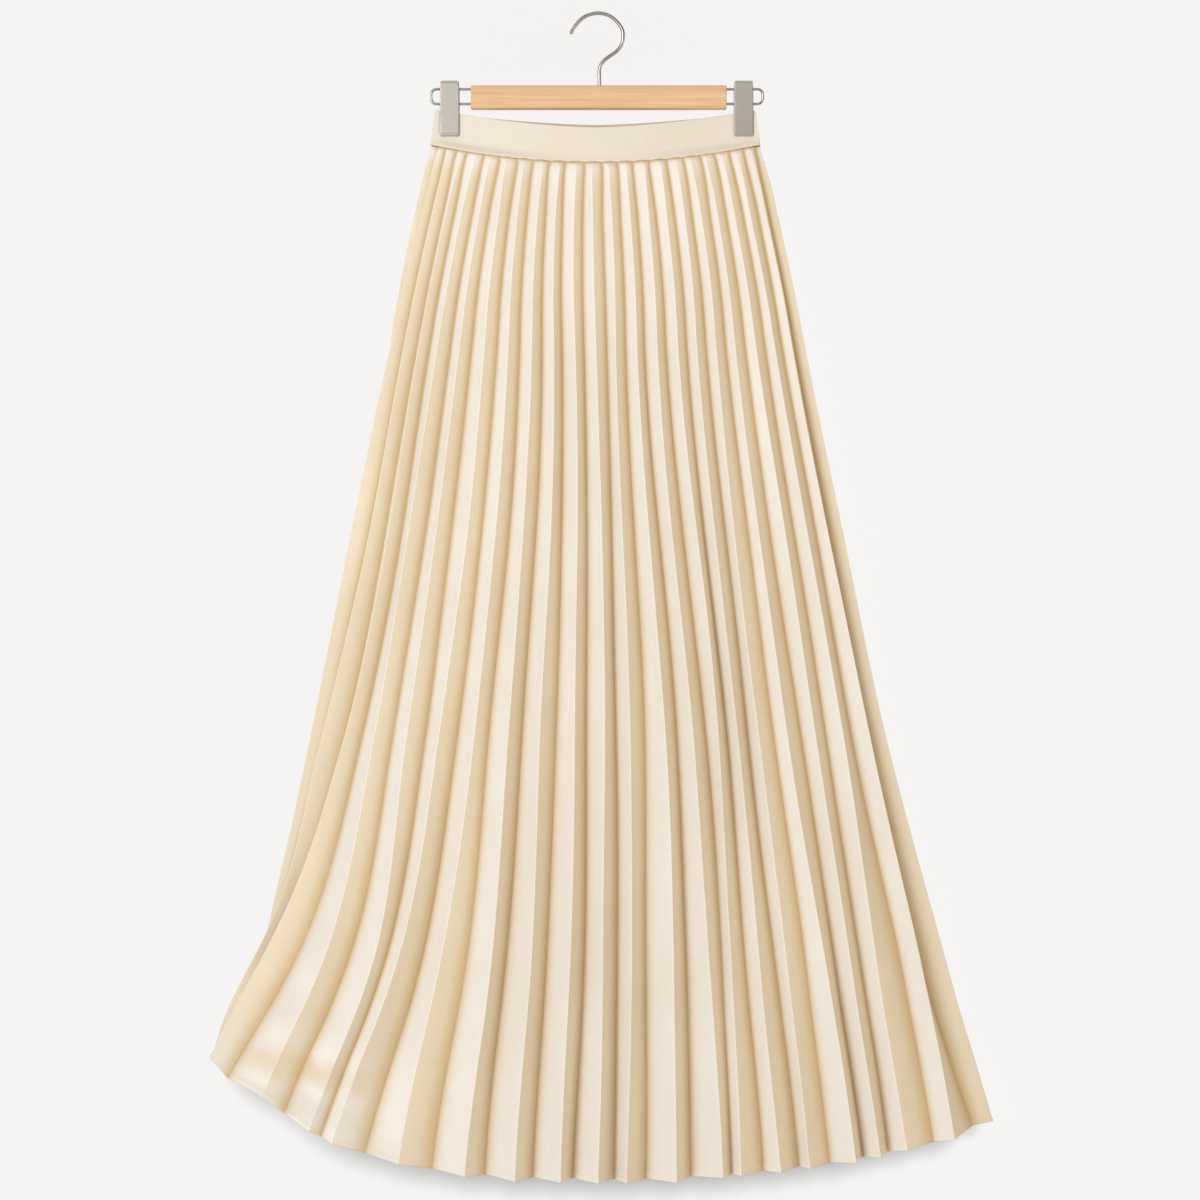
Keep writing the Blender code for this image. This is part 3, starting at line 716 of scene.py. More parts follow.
def soft_waves(points):
    """How far the broad waves bring each point forward: a bump across times a bump down the cloth.

    A slanted wave's middle is lower by its slant for each mm across. The waves fade to the back.
    """
    x = points[..., 0]
    drop = -points[..., 2]
    forward = np.zeros(x.shape)
    for place, centre, half_width, half_height, amount, slant in WAVES:
        line = centre + slant * (x - place)
        forward += amount * bump(x, place, half_width) * bump(drop, line, half_height)
    return forward * (1 - ramp(points[..., 1], *WAVES_END))


def puffs(along, folds):
    """Push out of each fold under the seam, largest about 8 mm below it and gone by 45 mm.

    A fold's own share is 0.55 plus 0.45 times two sines of its number.
    """
    order = np.arange(folds)
    own = 0.55 + 0.45 * np.sin(1.9 * order + 0.4) * np.sin(0.83 * order + 1.1)
    top, middle, end = PUFF_ROWS
    return (ramp(along, top, middle) * (1 - ramp(along, middle, end)))[:, None] * own


def drifts(along, folds):
    """How far each fold strays to one side: two slow sines down the cloth, and a pinch under the seam."""
    order = np.arange(folds)
    down = along[:, None]
    slow = np.sin(7.0 * down + 2.4 * order) + 0.6 * np.sin(15.0 * down + 4.1 * order)
    pinched = np.sin(3.7 * order + 0.5) * ramp(down, *PINCH_ROWS[:2]) * (1 - ramp(down, *PINCH_ROWS[2:]))
    return STRAY * ramp(down, *STRAY_ROWS) * slow + PINCH * pinched


def ease_valleys(ring, along):
    """Brings valleys out by a share of their depth: all near the waist, and some where a pleat gapes."""
    front = ring[:, :2 * len(RIDGES) + 1]
    depth = (front[:, 1:-2:2, 1] + front[:, 3::2, 1]) / 2 - front[:, 2:-1:2, 1]
    share = np.repeat(HIGH_SHARE * (1 - ramp(along, *HIGH_ROWS))[:, None], depth.shape[1], axis=1)
    for order, centre, half, taken in GAPING:
        share[:, order - 1] += taken * bump(-ring[:, 2 * order, 2], centre, half)
    front[:, 2:-1:2, 1] += depth * share


RING = fold_ring(LENGTH_ROWS)
FOLDS = RING.shape[1]
HALF = 2 * len(RIDGES)
print("ring", RING.shape, "with a side seam at fold", HALF)

# %% [markdown]
# ### Rounded creases
# A pressed crease in satin still turns over about a millimetre. Each corner of the ring is cut back
# and bridged by a quadratic curve, so a face has a few points near each crease and a few across its
# middle. A bevel would do the same, but would lose the count of columns that the stitches and the
# UV map need.

# %% Rounded folds
RIDGE_ROUNDING = 0.8
VALLEY_ROUNDING = 1.2
MIDDLES = 3
NEAR_CREASE = 0.03
FACE_COLUMNS = MIDDLES + 5


def rounded_panel(ring, first, last):
    """Grid of one panel from valley first to valley last, with rounded creases, and its fold, turn and run.

    A corner C with the points A and B a rounding before and after it becomes the quadratic curve
    A, C, B. The run counts the faces passed.
    """
    faces = last - first
    corner = ring[:, np.arange(first, last + 1) % ring.shape[1]]
    ahead = np.diff(corner, axis=1)
    ahead = ahead / lengths(ahead)
    rounding = np.where(np.arange(faces + 1) % 2 == 0, VALLEY_ROUNDING, RIDGE_ROUNDING)
    rounding[[0, -1]] = SEAM_GAP / 2
    rounding = rounding[None, :, None]
    start = corner[:, :-1] + ahead * rounding[:, :-1]
    end = corner[:, 1:] - ahead * rounding[:, 1:]
    before = np.concatenate([start[:, :1], end], 1)
    after = np.concatenate([start, end[:, -1:]], 1)
    crest = (before + 2 * corner + after) / 4
    leaving = (before + 6 * corner + 9 * after) / 16
    coming = (9 * before + 6 * corner + after) / 16
    crest[:, 0] = start[:, 0]
    crest[:, -1] = end[:, -1]
    middles = np.arange(1, MIDDLES + 1) / (MIDDLES + 1)
    across = [start + (end - start) * share for share in middles]
    grid = np.stack([crest[:, :-1], leaving[:, :-1], start, *across, end, coming[:, 1:]], 2)
    grid = np.concatenate([grid.reshape(len(ring), -1, 3), crest[:, -1:]], 1)

    shares = np.array([0.0, NEAR_CREASE, 2 * NEAR_CREASE, *middles, 1 - 2 * NEAR_CREASE, 1 - NEAR_CREASE])
    to_ridge = np.arange(faces) % 2 == 0
    depth = np.append(np.where(to_ridge[:, None], 1 - shares, shares), 1.0)
    run = np.append(np.arange(faces)[:, None] + shares, faces)
    turned = np.repeat(1.0 * ~to_ridge, FACE_COLUMNS)
    turned[::FACE_COLUMNS] = 0.5
    return grid, depth, np.append(turned, 0.5), run


def outward_ways(grid):
    """Unit way out of the cloth at each point, from the cross product of its two grid directions."""
    way = np.cross(np.gradient(grid, axis=0), np.gradient(grid, axis=1))
    return way / np.maximum(lengths(way), 1e-9)


print("columns in a face", FACE_COLUMNS)

# %% [markdown]
# ### The panels
# The hem is the cloth turned under once and stitched, so its last five millimetres stand out by a
# turn of cloth. The grid is the outer face, and Solidify gives it the thickness of the cloth on the
# inner side.

# %% Front and back panels
CLOTH_THICKNESS = 0.5
PANEL_LENGTH = 1020.0
# Each pair of rows is where an effect starts and ends, as shares of the way down the skirt
HEM_STEP = 0.35
HEM_ROWS_UP = (0.9944, 0.9954)
HEM_LIP = 0.6
HEM_LIP_ROWS = (0.9985, 1.0)
PUFF = 1.6
VALLEY_PUFF = 0.35
TUCK = 0.4
TUCK_ROWS = (0.0, 0.007)
SEWN_IN = 0.9
SEWN_ROWS = (0.0, 0.004)
SHALLOW = 1.6
SHALLOW_ROWS = (0.003, 0.034)
# Painted shade: darkest in the tuck at the seam, and a painted turned shade on side faces and where the
# cloth looks down
TUCK_SHADE_ROWS = (0.001, 0.005)
TURN_SHADE_ROWS = (0.0, 0.03)
SIDE_PAINTED_SHADE = 0.85
DOWN_SHADE_TILT = (-0.05, 0.18)
RIDGE_DEPTH = 0.1
TURNED_POWER = 0.8
LIT_POWER = 2.0
SPREAD_SHARE = 0.9
SPREAD_DROP = (-960.0, -1080.0)
SPREAD_PLACE = (-190.0, -250.0)


def soften(ring):
    """The ring with its puffs, tucks, shallower valleys by the seam, gapes and strays."""
    ring = ring.copy()
    rows = LENGTH_ROWS[:, None]
    is_ridge = np.arange(FOLDS) % 2 == 1
    push = PUFF * puffs(LENGTH_ROWS, FOLDS) * np.where(is_ridge, 1.0, VALLEY_PUFF)
    push -= TUCK * (1 - ramp(rows, *TUCK_ROWS))
    push += SHALLOW * (1 - ramp(rows, *SHALLOW_ROWS)) * ~is_ridge
    ring[..., 1] += np.where(ring[..., 1] < 0, -1.0, 1.0) * push
    ring[..., 2] += SEWN_IN * (1 - ramp(rows, *SEWN_ROWS))
    ease_valleys(ring, LENGTH_ROWS)
    ring[..., 0] += drifts(LENGTH_ROWS, FOLDS)
    return ring


def painted_shade_values(grid, out, depth, turned):
    """Painted shade values, fold and turn: depth by one power on lit faces and another on turned ones, and
    the turn, with painted shade added on side faces and where the cloth looks down.
    """
    x, y, z = np.moveaxis(grid, -1, 0)
    rows = LENGTH_ROWS[:, None]
    spread_out = ramp(z, *SPREAD_DROP) * ramp(x, *SPREAD_PLACE) * (y < 0)
    # Painted shade where the cloth on the front left faces down
    painted_down_shade = ramp(-out[..., 2], *DOWN_SHADE_TILT) * (y < 0) * (x < 0)
    # Painted shade on the outermost faces by both side seams
    turned[:FACE_COLUMNS + 1] = SIDE_PAINTED_SHADE
    turned[-2 * FACE_COLUMNS:] = SIDE_PAINTED_SHADE
    power = np.where(turned >= SIDE_PAINTED_SHADE, TURNED_POWER, LIT_POWER)
    depth = np.where(depth < RIDGE_DEPTH, depth, depth ** power)
    turned = turned * ramp(rows, *TURN_SHADE_ROWS) * (1 - SPREAD_SHARE * spread_out)
    # Painted shade in the tuck just under the waistband seam: fold is held at 1 in the first rows
    return {"fold": np.maximum(depth, 1 - ramp(rows, *TUCK_SHADE_ROWS)), "turn": np.maximum(turned, painted_down_shade)}


def panel_grid(first, last):
    """Points, fold and turn values and UV of one panel, with its waves and hem."""
    grid, depth, turned, run = rounded_panel(soften(RING), first, last)
    grid[..., 1] -= soft_waves(grid)
    out = outward_ways(grid)
    hem = ramp(LENGTH_ROWS, *HEM_ROWS_UP) * (1 - HEM_LIP * ramp(LENGTH_ROWS, *HEM_LIP_ROWS))
    grid += out * HEM_STEP * hem[:, None, None]
    face = (FACE_AT_SEAM + (FACE_AT_HEM - FACE_AT_SEAM) * LENGTH_ROWS)[:, None]
    u = (run[None, :] - (last - first) / 2) * face * MM
    v = np.broadcast_to(-LENGTH_ROWS[:, None] * PANEL_LENGTH * MM, u.shape)
    return grid, painted_shade_values(grid, out, depth, turned), np.stack([u, v], -1)


def make_panel(name, first, last):
    """One pleated panel as a shell."""
    grid, values, uv = panel_grid(first, last)
    rows, columns = grid.shape[:2]
    piece = make_piece(name, grid, [grid_faces(rows, columns)], SATIN, uv, values)
    wall = piece.modifiers.new("cloth thickness", "SOLIDIFY")
    wall.thickness = CLOTH_THICKNESS * MM
    wall.offset = -1.0
    hand_over(piece, "cream_satin", name)
    return piece, grid


FRONT, front_grid = make_panel("skirt_front", 0, HALF)
BACK, back_grid = make_panel("skirt_back", HALF, FOLDS)

# %% [markdown]
# ### Stitches
# The hem and the waistband are sewn on a lockstitch machine, so the thread shows as a row of short
# dashes that dip into the cloth at both ends. Each is a small six-sided tube along the sewing line,
# thick in the middle, and all of one row are one mesh.

# %% Rows of stitches
STITCH_SHARES = np.array([-0.5, -0.42, -0.2, 0.0, 0.2, 0.42, 0.5])
STITCH_SIDES = 6
STITCH_RISE = 0.6
STITCH_SINK = 0.2
STITCH_END = 0.3
# Pitch, length and radius of a stitch
HEM_STITCH = (3.4, 2.5, 0.22)
BAND_STITCH = (2.9, 2.0, 0.2)
HEM_SEWN_AT = 0.9955
HEM_STITCH_ROW = int(np.argmin(np.abs(LENGTH_ROWS - HEM_SEWN_AT)))


def stitch_row(name, line, out, pitch, length, radius):
    """Stitches along a line of points that lie on cloth facing out, one every pitch.

    The centre line of a stitch rises by the radius times a parabola, and its ends are pulled in to 0.3.
    """
    run = run_along(line)
    middle = (np.arange(int(run[-1] / pitch)) + 0.5) * pitch
    at = middle[:, None] + STITCH_SHARES * length
    centre, up = (np.stack([np.interp(at, run, ways[:, k]) for k in range(3)], -1) for ways in (line, out))
    swell = 1 - (2 * STITCH_SHARES) ** 2
    centre += up * radius * (STITCH_RISE * swell - STITCH_SINK)[:, None]
    tangent = np.gradient(centre, axis=1)
    side = np.cross(tangent, up)
    side /= lengths(side)
    up = np.cross(side, tangent)
    up /= lengths(up)
    turn = np.arange(STITCH_SIDES) * 2 * math.pi / STITCH_SIDES
    width = radius * (STITCH_END + (1 - STITCH_END) * swell ** 0.4)[:, None, None]
    ring = np.cos(turn)[:, None] * side[:, :, None] + np.sin(turn)[:, None] * up[:, :, None]
    points = centre[:, :, None] + width * ring
    each = len(STITCH_SHARES) * STITCH_SIDES
    start = (np.arange(len(middle)) * each)[:, None, None]
    tube = grid_faces(len(STITCH_SHARES), STITCH_SIDES, around=True)
    cap = np.arange(STITCH_SIDES)
    caps = np.stack([cap, cap[::-1] + each - STITCH_SIDES])
    blocks = [(start + tube).reshape(-1, 4), (start + caps).reshape(-1, STITCH_SIDES)]
    return make_piece(name, points, blocks, THREAD)


for label, grid in (("front", front_grid), ("back", back_grid)):
    row = HEM_STITCH_ROW
    sewing = stitch_row(f"hem_stitches_{label}", grid[row], outward_ways(grid)[row], *HEM_STITCH)
    hand_over(sewing, "cream_satin")

# %% [markdown]
# ## The waistband
# A strip of the same cloth, stiffened and folded in two, stands round the waist. The clips pinch
# its ends flat and its middle sags. Each half is a loft of profiles: over the rounded top fold,
# down the outer face, into the sewn groove, round the narrow roll at the seam, and up the inner
# face. The back half stands a little higher in the middle, so its edge shows behind the front one.

# %% The band's lines and profile
# The top edge's drop, its sag and bow, and how far the back one rises
BAND_TOP_DROP = 95.0
BAND_TOP_SAG = 17.0
BAND_TOP_POWER = 1.6
BAND_BOW_TOP = 12.0
BAND_BOW_POWER = 1.5
# The wall, half the gap that the clips leave, and where the pinch and the flare start
BAND_WALL = 2.4
PINCH_DEPTH = 2.55
PINCH_START = 0.84
FLARE_START = 0.74
BACK_RISE = 6.4
BAND_CORNER = 3.2
NEAR_END = np.array([0.0, 0.002, 0.005, 0.009, 0.014, 0.02, 0.028])
BAND_SHARES = np.concatenate([NEAR_END - 1, np.linspace(-0.96, 0.96, 161), 1 - NEAR_END[::-1]])
# Profile over the top, down the face, round the bottom and up inside: the distance below the top
# edge or above the bottom edge, and the place through the wall from -1 inside to 1 outside
TOP_PROFILE = ((0.9, -1.0), (0.35, -0.87), (0.08, -0.5), (0.0, 0.0), (0.08, 0.5), (0.35, 0.87), (0.9, 1.0))
FACE_STEPS = np.linspace(0.06, 0.86, 13)
BOTTOM_PROFILE = (
    (4.1, 1.0), (3.6, 0.99), (3.2, 0.95), (2.8, 1.0), (2.3, 1.07), (1.5, 1.12), (0.8, 1.05),
    (0.3, 0.8), (0.0, 0.2), (0.1, -0.5), (0.5, -0.95), (1.2, -1.0),
)
GROOVE = len(TOP_PROFILE) + len(FACE_STEPS) + 2
# Painted shade along that profile, as fold values: a share all over, and more over the top, in the groove,
# under the roll and inside
BAND_PAINTED_SHADE = 0.2
OVER_PAINTED_SHADE = (0.7, 0.6, 0.3, 0.0, 0.0, 0.0, 0.0)
UNDER_PAINTED_SHADE = (0.0, 0.1, 0.5, 0.1, 0.0, 0.0, 0.1, 0.5, 0.8, 0.8, 0.8, 0.8)
INNER_PAINTED_SHADE = 0.7
BAND_WAVES = (
    # place, share of the way down, half width, half height, forward
    (-95.0, 0.75, 40.0, 0.5, 0.5),
    (-40.0, 0.45, 60.0, 0.5, 0.35),
    (35.0, 0.70, 50.0, 0.5, 0.4),
    (100.0, 0.40, 45.0, 0.5, -0.4),
    (-128.0, 0.35, 14.0, 0.6, 0.5),
    (122.0, 0.45, 14.0, 0.6, 0.5),
)
print("profile points", len(TOP_PROFILE) + 2 * len(FACE_STEPS) + len(BOTTOM_PROFILE), "groove at", GROOVE)

# %% [markdown]
# ### Its two halves
# One function makes both, mirrored front to back by its side. Between two straight ends the band
# bows outwards, most in the middle, and below its flare it widens to meet the pleats.

# %% Waistband halves
def band_half(side):
    """Rings of profile points for one half of the waistband: side is -1 in front and 1 behind.

    The top sags by 1 less a power of the share along it, and bows by a power of 1 less the share squared.
    """
    share = BAND_SHARES[:, None]
    top_x, seam_x = (left + (share + 1) / 2 * (right - left)
                     for left, right in (BAND_TOP_ENDS, BAND_SEAM_ENDS))
    bow = np.maximum(0, 1 - (share / PINCH_START) ** 2) ** BAND_BOW_POWER
    at_top = PINCH_DEPTH + BAND_BOW_TOP * bow
    at_seam = PINCH_DEPTH + (SEAM_DEPTH - PINCH_DEPTH) * np.sqrt(1 - share ** 2)
    top_seen = BAND_TOP_DROP + BAND_TOP_SAG * (1 - np.abs(share) ** BAND_TOP_POWER)
    top_drop = sighted(top_seen, SIGHT_DROP, -at_top) - BACK_RISE * bow * (side > 0)
    top_drop = top_drop + pulled_in((1 - np.abs(share)) * -BAND_TOP_ENDS[0], BAND_CORNER)
    height = seam_line(seam_x) - top_drop

    over = np.array(TOP_PROFILE)
    under = np.array(BOTTOM_PROFILE)
    face = height * FACE_STEPS
    flat = np.ones(len(FACE_STEPS))
    below = np.concatenate([over[:, 0] + 0 * height, face, height - under[:, 0], face[:, ::-1]], 1)
    through = np.concatenate([over[:, 1], flat, under[:, 1], -flat])
    down = below / height
    x = top_x + (seam_x - top_x) * down
    depth = at_top + (at_seam - at_top) * ramp(down, FLARE_START, 1.0)
    for place, low, half_width, half_height, forward in BAND_WAVES:
        depth = depth + forward * bump(x, place, half_width) * bump(down, low, half_height) * bow
    y = side * (depth - BAND_WALL / 2 + through * BAND_WALL / 2)
    rings = np.stack([x, y, -(top_drop + below)], -1)
    # Painted shade over the top fold, in the sewn groove, under the roll and on the inner face
    fold = BAND_PAINTED_SHADE + np.concatenate([OVER_PAINTED_SHADE, 0 * flat, UNDER_PAINTED_SHADE, INNER_PAINTED_SHADE * flat])
    return rings, np.stack([x, -below], -1) * MM, np.broadcast_to(fold, down.shape)


for label, side in (("front", -1), ("back", 1)):
    rings, uv, fold = band_half(side)
    band = loft(f"waistband_{label}_cloth", rings, BAND_SATIN, uv, {"fold": fold})
    hand_over(band, "cream_band", f"waistband_{label}")
    groove = rings[2:-2, GROOVE][::-side]
    outward = np.broadcast_to((0.0, float(side), 0.0), groove.shape)
    sewing = stitch_row(f"waistband_stitches_{label}", groove, outward, *BAND_STITCH)
    hand_over(sewing, "cream_band")

# %% [markdown]
# ## Steel and wood
# The hook, loops and clips are plated steel with a fine brushed finish, a little warmer than pure
# grey. The bar is pale beech under a satin lacquer: long wavy grain lines, darker pores between
# them, and broad bands of tone. Both come from the streaks group, pulled long along the piece.

# %% Steel and beech
def make_steel(name, colour, worn, edge, roughness, upright, relief, metal):
    """Brushed steel: streaks move its colour, roughness and fine bump; edge is its tint at a glance."""
    mat, tree, shader = new_material(name)
    streak = use_group(tree, STREAKS, Across=2600.0, Along=60.0, Upright=upright)["Streak"]
    cloud = use_group(tree, MOTTLE, Size=150.0)["Cloud"]
    for share in (spread(tree, streak, 0.3, 0.7, 0.0, 0.45), spread(tree, cloud, 0.4, 0.6, 0.0, 0.3)):
        colour = mix_colours(tree, share, colour, worn)
    set_inputs(tree, shader, Base_Color=colour, Metallic=metal, Specular_Tint=(edge, edge, edge, 1.0),
               Roughness=spread(tree, streak, 0.3, 0.7, roughness - 0.06, roughness + 0.08),
               Normal=fine_bump(tree, relief, 0.00005, streak))
    return mat


def make_beech(name):
    """Pale beech: broad streaks for bands of tone, fine ones for the grain, dark short pores."""
    mat, tree, shader = new_material(name)
    grain = use_group(tree, STREAKS, Across=900.0, Along=13.0)
    pores = use_group(tree, STREAKS, Across=1500.0, Along=70.0)
    bands = spread(tree, grain["Broad"], 0.32, 0.68)
    colour = mix_colours(tree, bands, (0.68, 0.42, 0.205), (0.79, 0.54, 0.32))
    lines = spread(tree, grain["Streak"], 0.48, 0.66, 0.0, 0.42)
    colour = mix_colours(tree, lines, colour, (0.55, 0.31, 0.14))
    specks = spread(tree, pores["Streak"], 0.64, 0.74, 0.0, 0.3)
    colour = mix_colours(tree, specks, colour, (0.50, 0.27, 0.11))
    set_inputs(tree, shader, Base_Color=colour, Coat_Weight=0.15, Coat_Roughness=0.35,
               Roughness=spread(tree, grain["Streak"], 0.3, 0.7, 0.42, 0.55),
               Normal=fine_bump(tree, 0.2, 0.0001, grain["Streak"]))
    return mat


PLATE_STEEL = make_steel("brushed plate steel", colour=(0.47, 0.445, 0.42), worn=(0.40, 0.375, 0.35),
                         edge=1.0, roughness=0.42, upright=1.0, relief=0.12, metal=0.7)
WIRE_STEEL = make_steel("bright wire steel", colour=(0.46, 0.445, 0.43), worn=(0.32, 0.31, 0.295),
                        edge=0.04, roughness=0.26, upright=0.0, relief=0.02, metal=1.0)
BEECH = make_beech("pale beech")
print("finishes", PLATE_STEEL.name, WIRE_STEEL.name, BEECH.name)

# %% [markdown]
# ## The hanger's bar
# A planed strip of beech with eased edges. Its outline is a rectangle with quarter circles at the
# corners, carried along its length, and pulled in over the last millimetres at both ends. A cube
# with a bevel would do too, but the clip plates need the same outline with a changing width, so one
# helper serves both.

# %% Bar
BAR_ENDS = (-129.0, 126.5)
BAR_TOP = -71.2
BAR_BOTTOM = -94.4
BAR_DEPTH = 13.0
BAR_ROUNDING = 1.6
BAR_END_ROUNDING = 1.2
BAR_RINGS = 12
BESIDE = 0.5


def rounded_outline(half_across, half_up, radius, steps=5):
    """Closed outline of a rectangle with rounded corners, with a point on each flat beside every corner."""
    turn = np.radians(np.linspace(0, 90, steps))
    arc = np.stack([np.cos(turn), np.sin(turn)], -1) * radius
    quarter = np.concatenate([arc[:1] - (0, BESIDE), arc, arc[-1:] - (BESIDE, 0)])
    outline = []
    for right, up in ((1, 1), (-1, 1), (-1, -1), (1, -1)):
        corner = quarter * (right, up) + (right * (half_across - radius), up * (half_up - radius))
        outline.append(corner if right == up else corner[::-1])
    return np.concatenate(outline)


def end_steps(length, radius):
    """Places along a length, close together at both ends, and how far a rounded end pulls in at each."""
    near = radius * (1 - np.cos(np.radians((0, 20, 40, 60, 75, 90))))
    middle = np.linspace(radius + 2, length - radius - 2, BAR_RINGS)
    at = np.concatenate([near, [radius + BESIDE], middle, [length - radius - BESIDE], length - near[::-1]])
    return at, pulled_in(np.minimum(at, length - at), radius)


bar_rings = []
for at, pulled in zip(*end_steps(BAR_ENDS[1] - BAR_ENDS[0], BAR_END_ROUNDING)):
    outline = rounded_outline(BAR_DEPTH / 2 - pulled, (BAR_TOP - BAR_BOTTOM) / 2 - pulled, BAR_ROUNDING)
    bar_rings.append(np.insert(outline, 0, BAR_ENDS[0] + at, axis=1))
bar_rings = np.array(bar_rings) + (0, 0, (BAR_TOP + BAR_BOTTOM) / 2)
hand_over(loft("wooden_bar", bar_rings, BEECH), "beech", "hanger_bar")

# %% [markdown]
# ## Wires
# The hook is one bent wire whose stem goes down into the bar, with a domed tip. The loops are
# thinner wire bent to a long U. A wire is a loft of circles across its path, and a list of radii
# tapers its ends.

# %% A wire along a path
WIRE_SIDES = 20


def wire(name, path, radii, material):
    """Round wire along a path of x and z in the hanger's plane, with a radius at each point."""
    tangent = np.gradient(path, axis=0)
    tangent /= lengths(tangent)
    turn = np.arange(WIRE_SIDES) * 2 * math.pi / WIRE_SIDES
    sideways = np.cos(turn) * radii[:, None]
    x = path[:, :1] - tangent[:, 1:] * sideways
    z = path[:, 1:] + tangent[:, :1] * sideways
    return loft(name, np.stack([x, np.sin(turn) * radii[:, None], z], -1), material)


def evenly(path, step):
    """Points at an even step along a path, and the length run up to each."""
    run = run_along(path)
    at = np.linspace(0, run[-1], int(run[-1] / step) + 1)
    return np.stack([np.interp(at, run, path[:, 0]), np.interp(at, run, path[:, 1])], -1), at


print("wire sides", WIRE_SIDES)

# %% [markdown]
# ### The hook and the loops
# The hook's curve goes through a few points, from its tip over the rod and down the stem. Each loop
# is two straight wires that end in the bar, joined by a turn with two round corners outside the
# clip.

# %% Hook and loops
HOOK_POINTS = (
    (-29.7, -19.0), (-23.4, -9.2), (-15.9, -2.1), (-8.0, 1.0), (0.0, 1.75), (9.4, -0.8), (17.4, -7.3),
    (22.3, -14.8), (23.1, -22.5), (21.6, -29.6), (17.2, -35.8), (11.2, -40.2), (4.9, -44.8), (0.8, -50.0),
    (-0.6, -55.5), (-0.6, -63.0), (-0.6, -72.0), (-0.6, -85.0),
)
HOOK_RADIUS = 1.75
HOOK_STEPS = 600
HOOK_STEP = 0.5
COLLAR = 0.16
COLLAR_HALF = 2.2
LOOP_RADIUS = 1.25
LOOP_TOP = -74.3
LOOP_BOTTOM = -89.0
LOOP_ENDS = (-168.7, 162.7)
LOOP_CORNER = 5.0
LOOP_SOCKET = 11.0
LOOP_STEP = 0.8

hook_fine = np.linspace(0, len(HOOK_POINTS) - 1, HOOK_STEPS)
hook_curve = [smooth(hook_fine, np.arange(len(HOOK_POINTS)), column) for column in np.array(HOOK_POINTS).T]
hook_path, hook_run = evenly(np.stack(hook_curve, -1), HOOK_STEP)
tip = np.clip(hook_run / HOOK_RADIUS, 0.02, 1)
hook_radii = (HOOK_RADIUS + COLLAR * bump(hook_run, COLLAR_HALF, COLLAR_HALF)) * np.sqrt(tip * (2 - tip))
hand_over(wire("hook_wire", hook_path, hook_radii, WIRE_STEEL), "brushed_steel", "hanger_hook")

for label, bar_end, loop_end in zip(("left", "right"), BAR_ENDS, LOOP_ENDS):
    inward = math.copysign(1.0, bar_end - loop_end)
    turn = np.radians(np.linspace(90, 180, 12))
    corner = np.stack([np.cos(turn), np.sin(turn)], -1) * LOOP_CORNER
    upper = corner * (inward, 1) + (loop_end + inward * LOOP_CORNER, LOOP_TOP - LOOP_CORNER)
    lower = corner[::-1] * (inward, -1) + (loop_end + inward * LOOP_CORNER, LOOP_BOTTOM + LOOP_CORNER)
    socket = bar_end + inward * LOOP_SOCKET
    path, _ = evenly(np.array([(socket, LOOP_TOP), *upper, *lower, (socket, LOOP_BOTTOM)]), LOOP_STEP)
    hand_over(wire(f"loop_wire_{label}", path, np.full(len(path), LOOP_RADIUS), WIRE_STEEL),
              "brushed_steel", f"loop_{label}")

# %% [markdown]
# ## Clips
# Each clip is two stamped plates on a barrel round the loop's upper wire. A plate has rounded
# corners, a rolled lip at the top, a turned flange down its sides below the shoulders and a slight
# kick at its foot. It is a loft of flat rounded outlines from top to bottom whose width and
# thickness change.

# %% Clip plates and barrels
CLIP_PLACES = (-150.2, 143.5)
CLIP_WIDTH = 18.6
CLIP_TOP = -66.4
CLIP_BOTTOM = -121.6
JAW_INNER = PINCH_DEPTH + SEAM_GAP
JAW_WALL = 1.6
JAW_CORNER = 1.6
JAW_EDGE = 0.75
EDGE_LEFT = 0.05
# Each pair is where a form starts and ends, from the top or, for the kick, from the foot
LIP = 0.7
LIP_END = (1.2, 2.6)
KICK = 0.35
KICK_START = (3.2, 1.4)
SHOULDER = 5.5
FLANGE = 0.55
FLANGE_START = (SHOULDER - 0.4, SHOULDER + 0.4)
PLATE_ENDS = np.array([0.0, 0.06, 0.2, 0.5, 0.9, 1.3, 1.7, 2.1, 2.6, 3.2])
PLATE_MIDDLE = (SHOULDER - 0.8, SHOULDER - 0.2, SHOULDER + 0.2, SHOULDER + 0.8, 12, 20, 28, 36, 44, 50)
BARREL_LENGTH = 13.0
BARREL_RADIUS = 2.5
BARREL_BORE = 1.6
BARREL_EDGE = 0.3
BARREL_SIDES = 32


def plate_rings(place, side):
    """Outlines down one plate, smaller at corners and edges; side is -1 in front and 1 behind."""
    length = CLIP_TOP - CLIP_BOTTOM
    rings = []
    for at in np.concatenate([PLATE_ENDS, PLATE_MIDDLE, length - PLATE_ENDS[::-1]]):
        from_end = min(at, length - at)
        kick = ramp(at, length - KICK_START[0], length - KICK_START[1])
        lip = LIP * (1 - ramp(at, *LIP_END)) + KICK * kick
        flange = FLANGE * ramp(at, *FLANGE_START)
        half_wall = (JAW_WALL + lip) / 2 - pulled_in(from_end, JAW_EDGE)
        half_width = (CLIP_WIDTH - FLANGE) / 2 + flange - pulled_in(from_end, JAW_CORNER)
        outline = rounded_outline(half_width, half_wall, min(JAW_EDGE, half_wall - EDGE_LEFT))
        y = side * (JAW_INNER + (JAW_WALL + lip) / 2 + outline[:, 1])
        rings.append(np.stack([place + outline[:, 0], y, np.full(len(y), CLIP_TOP - at)], -1))
    return np.array(rings)


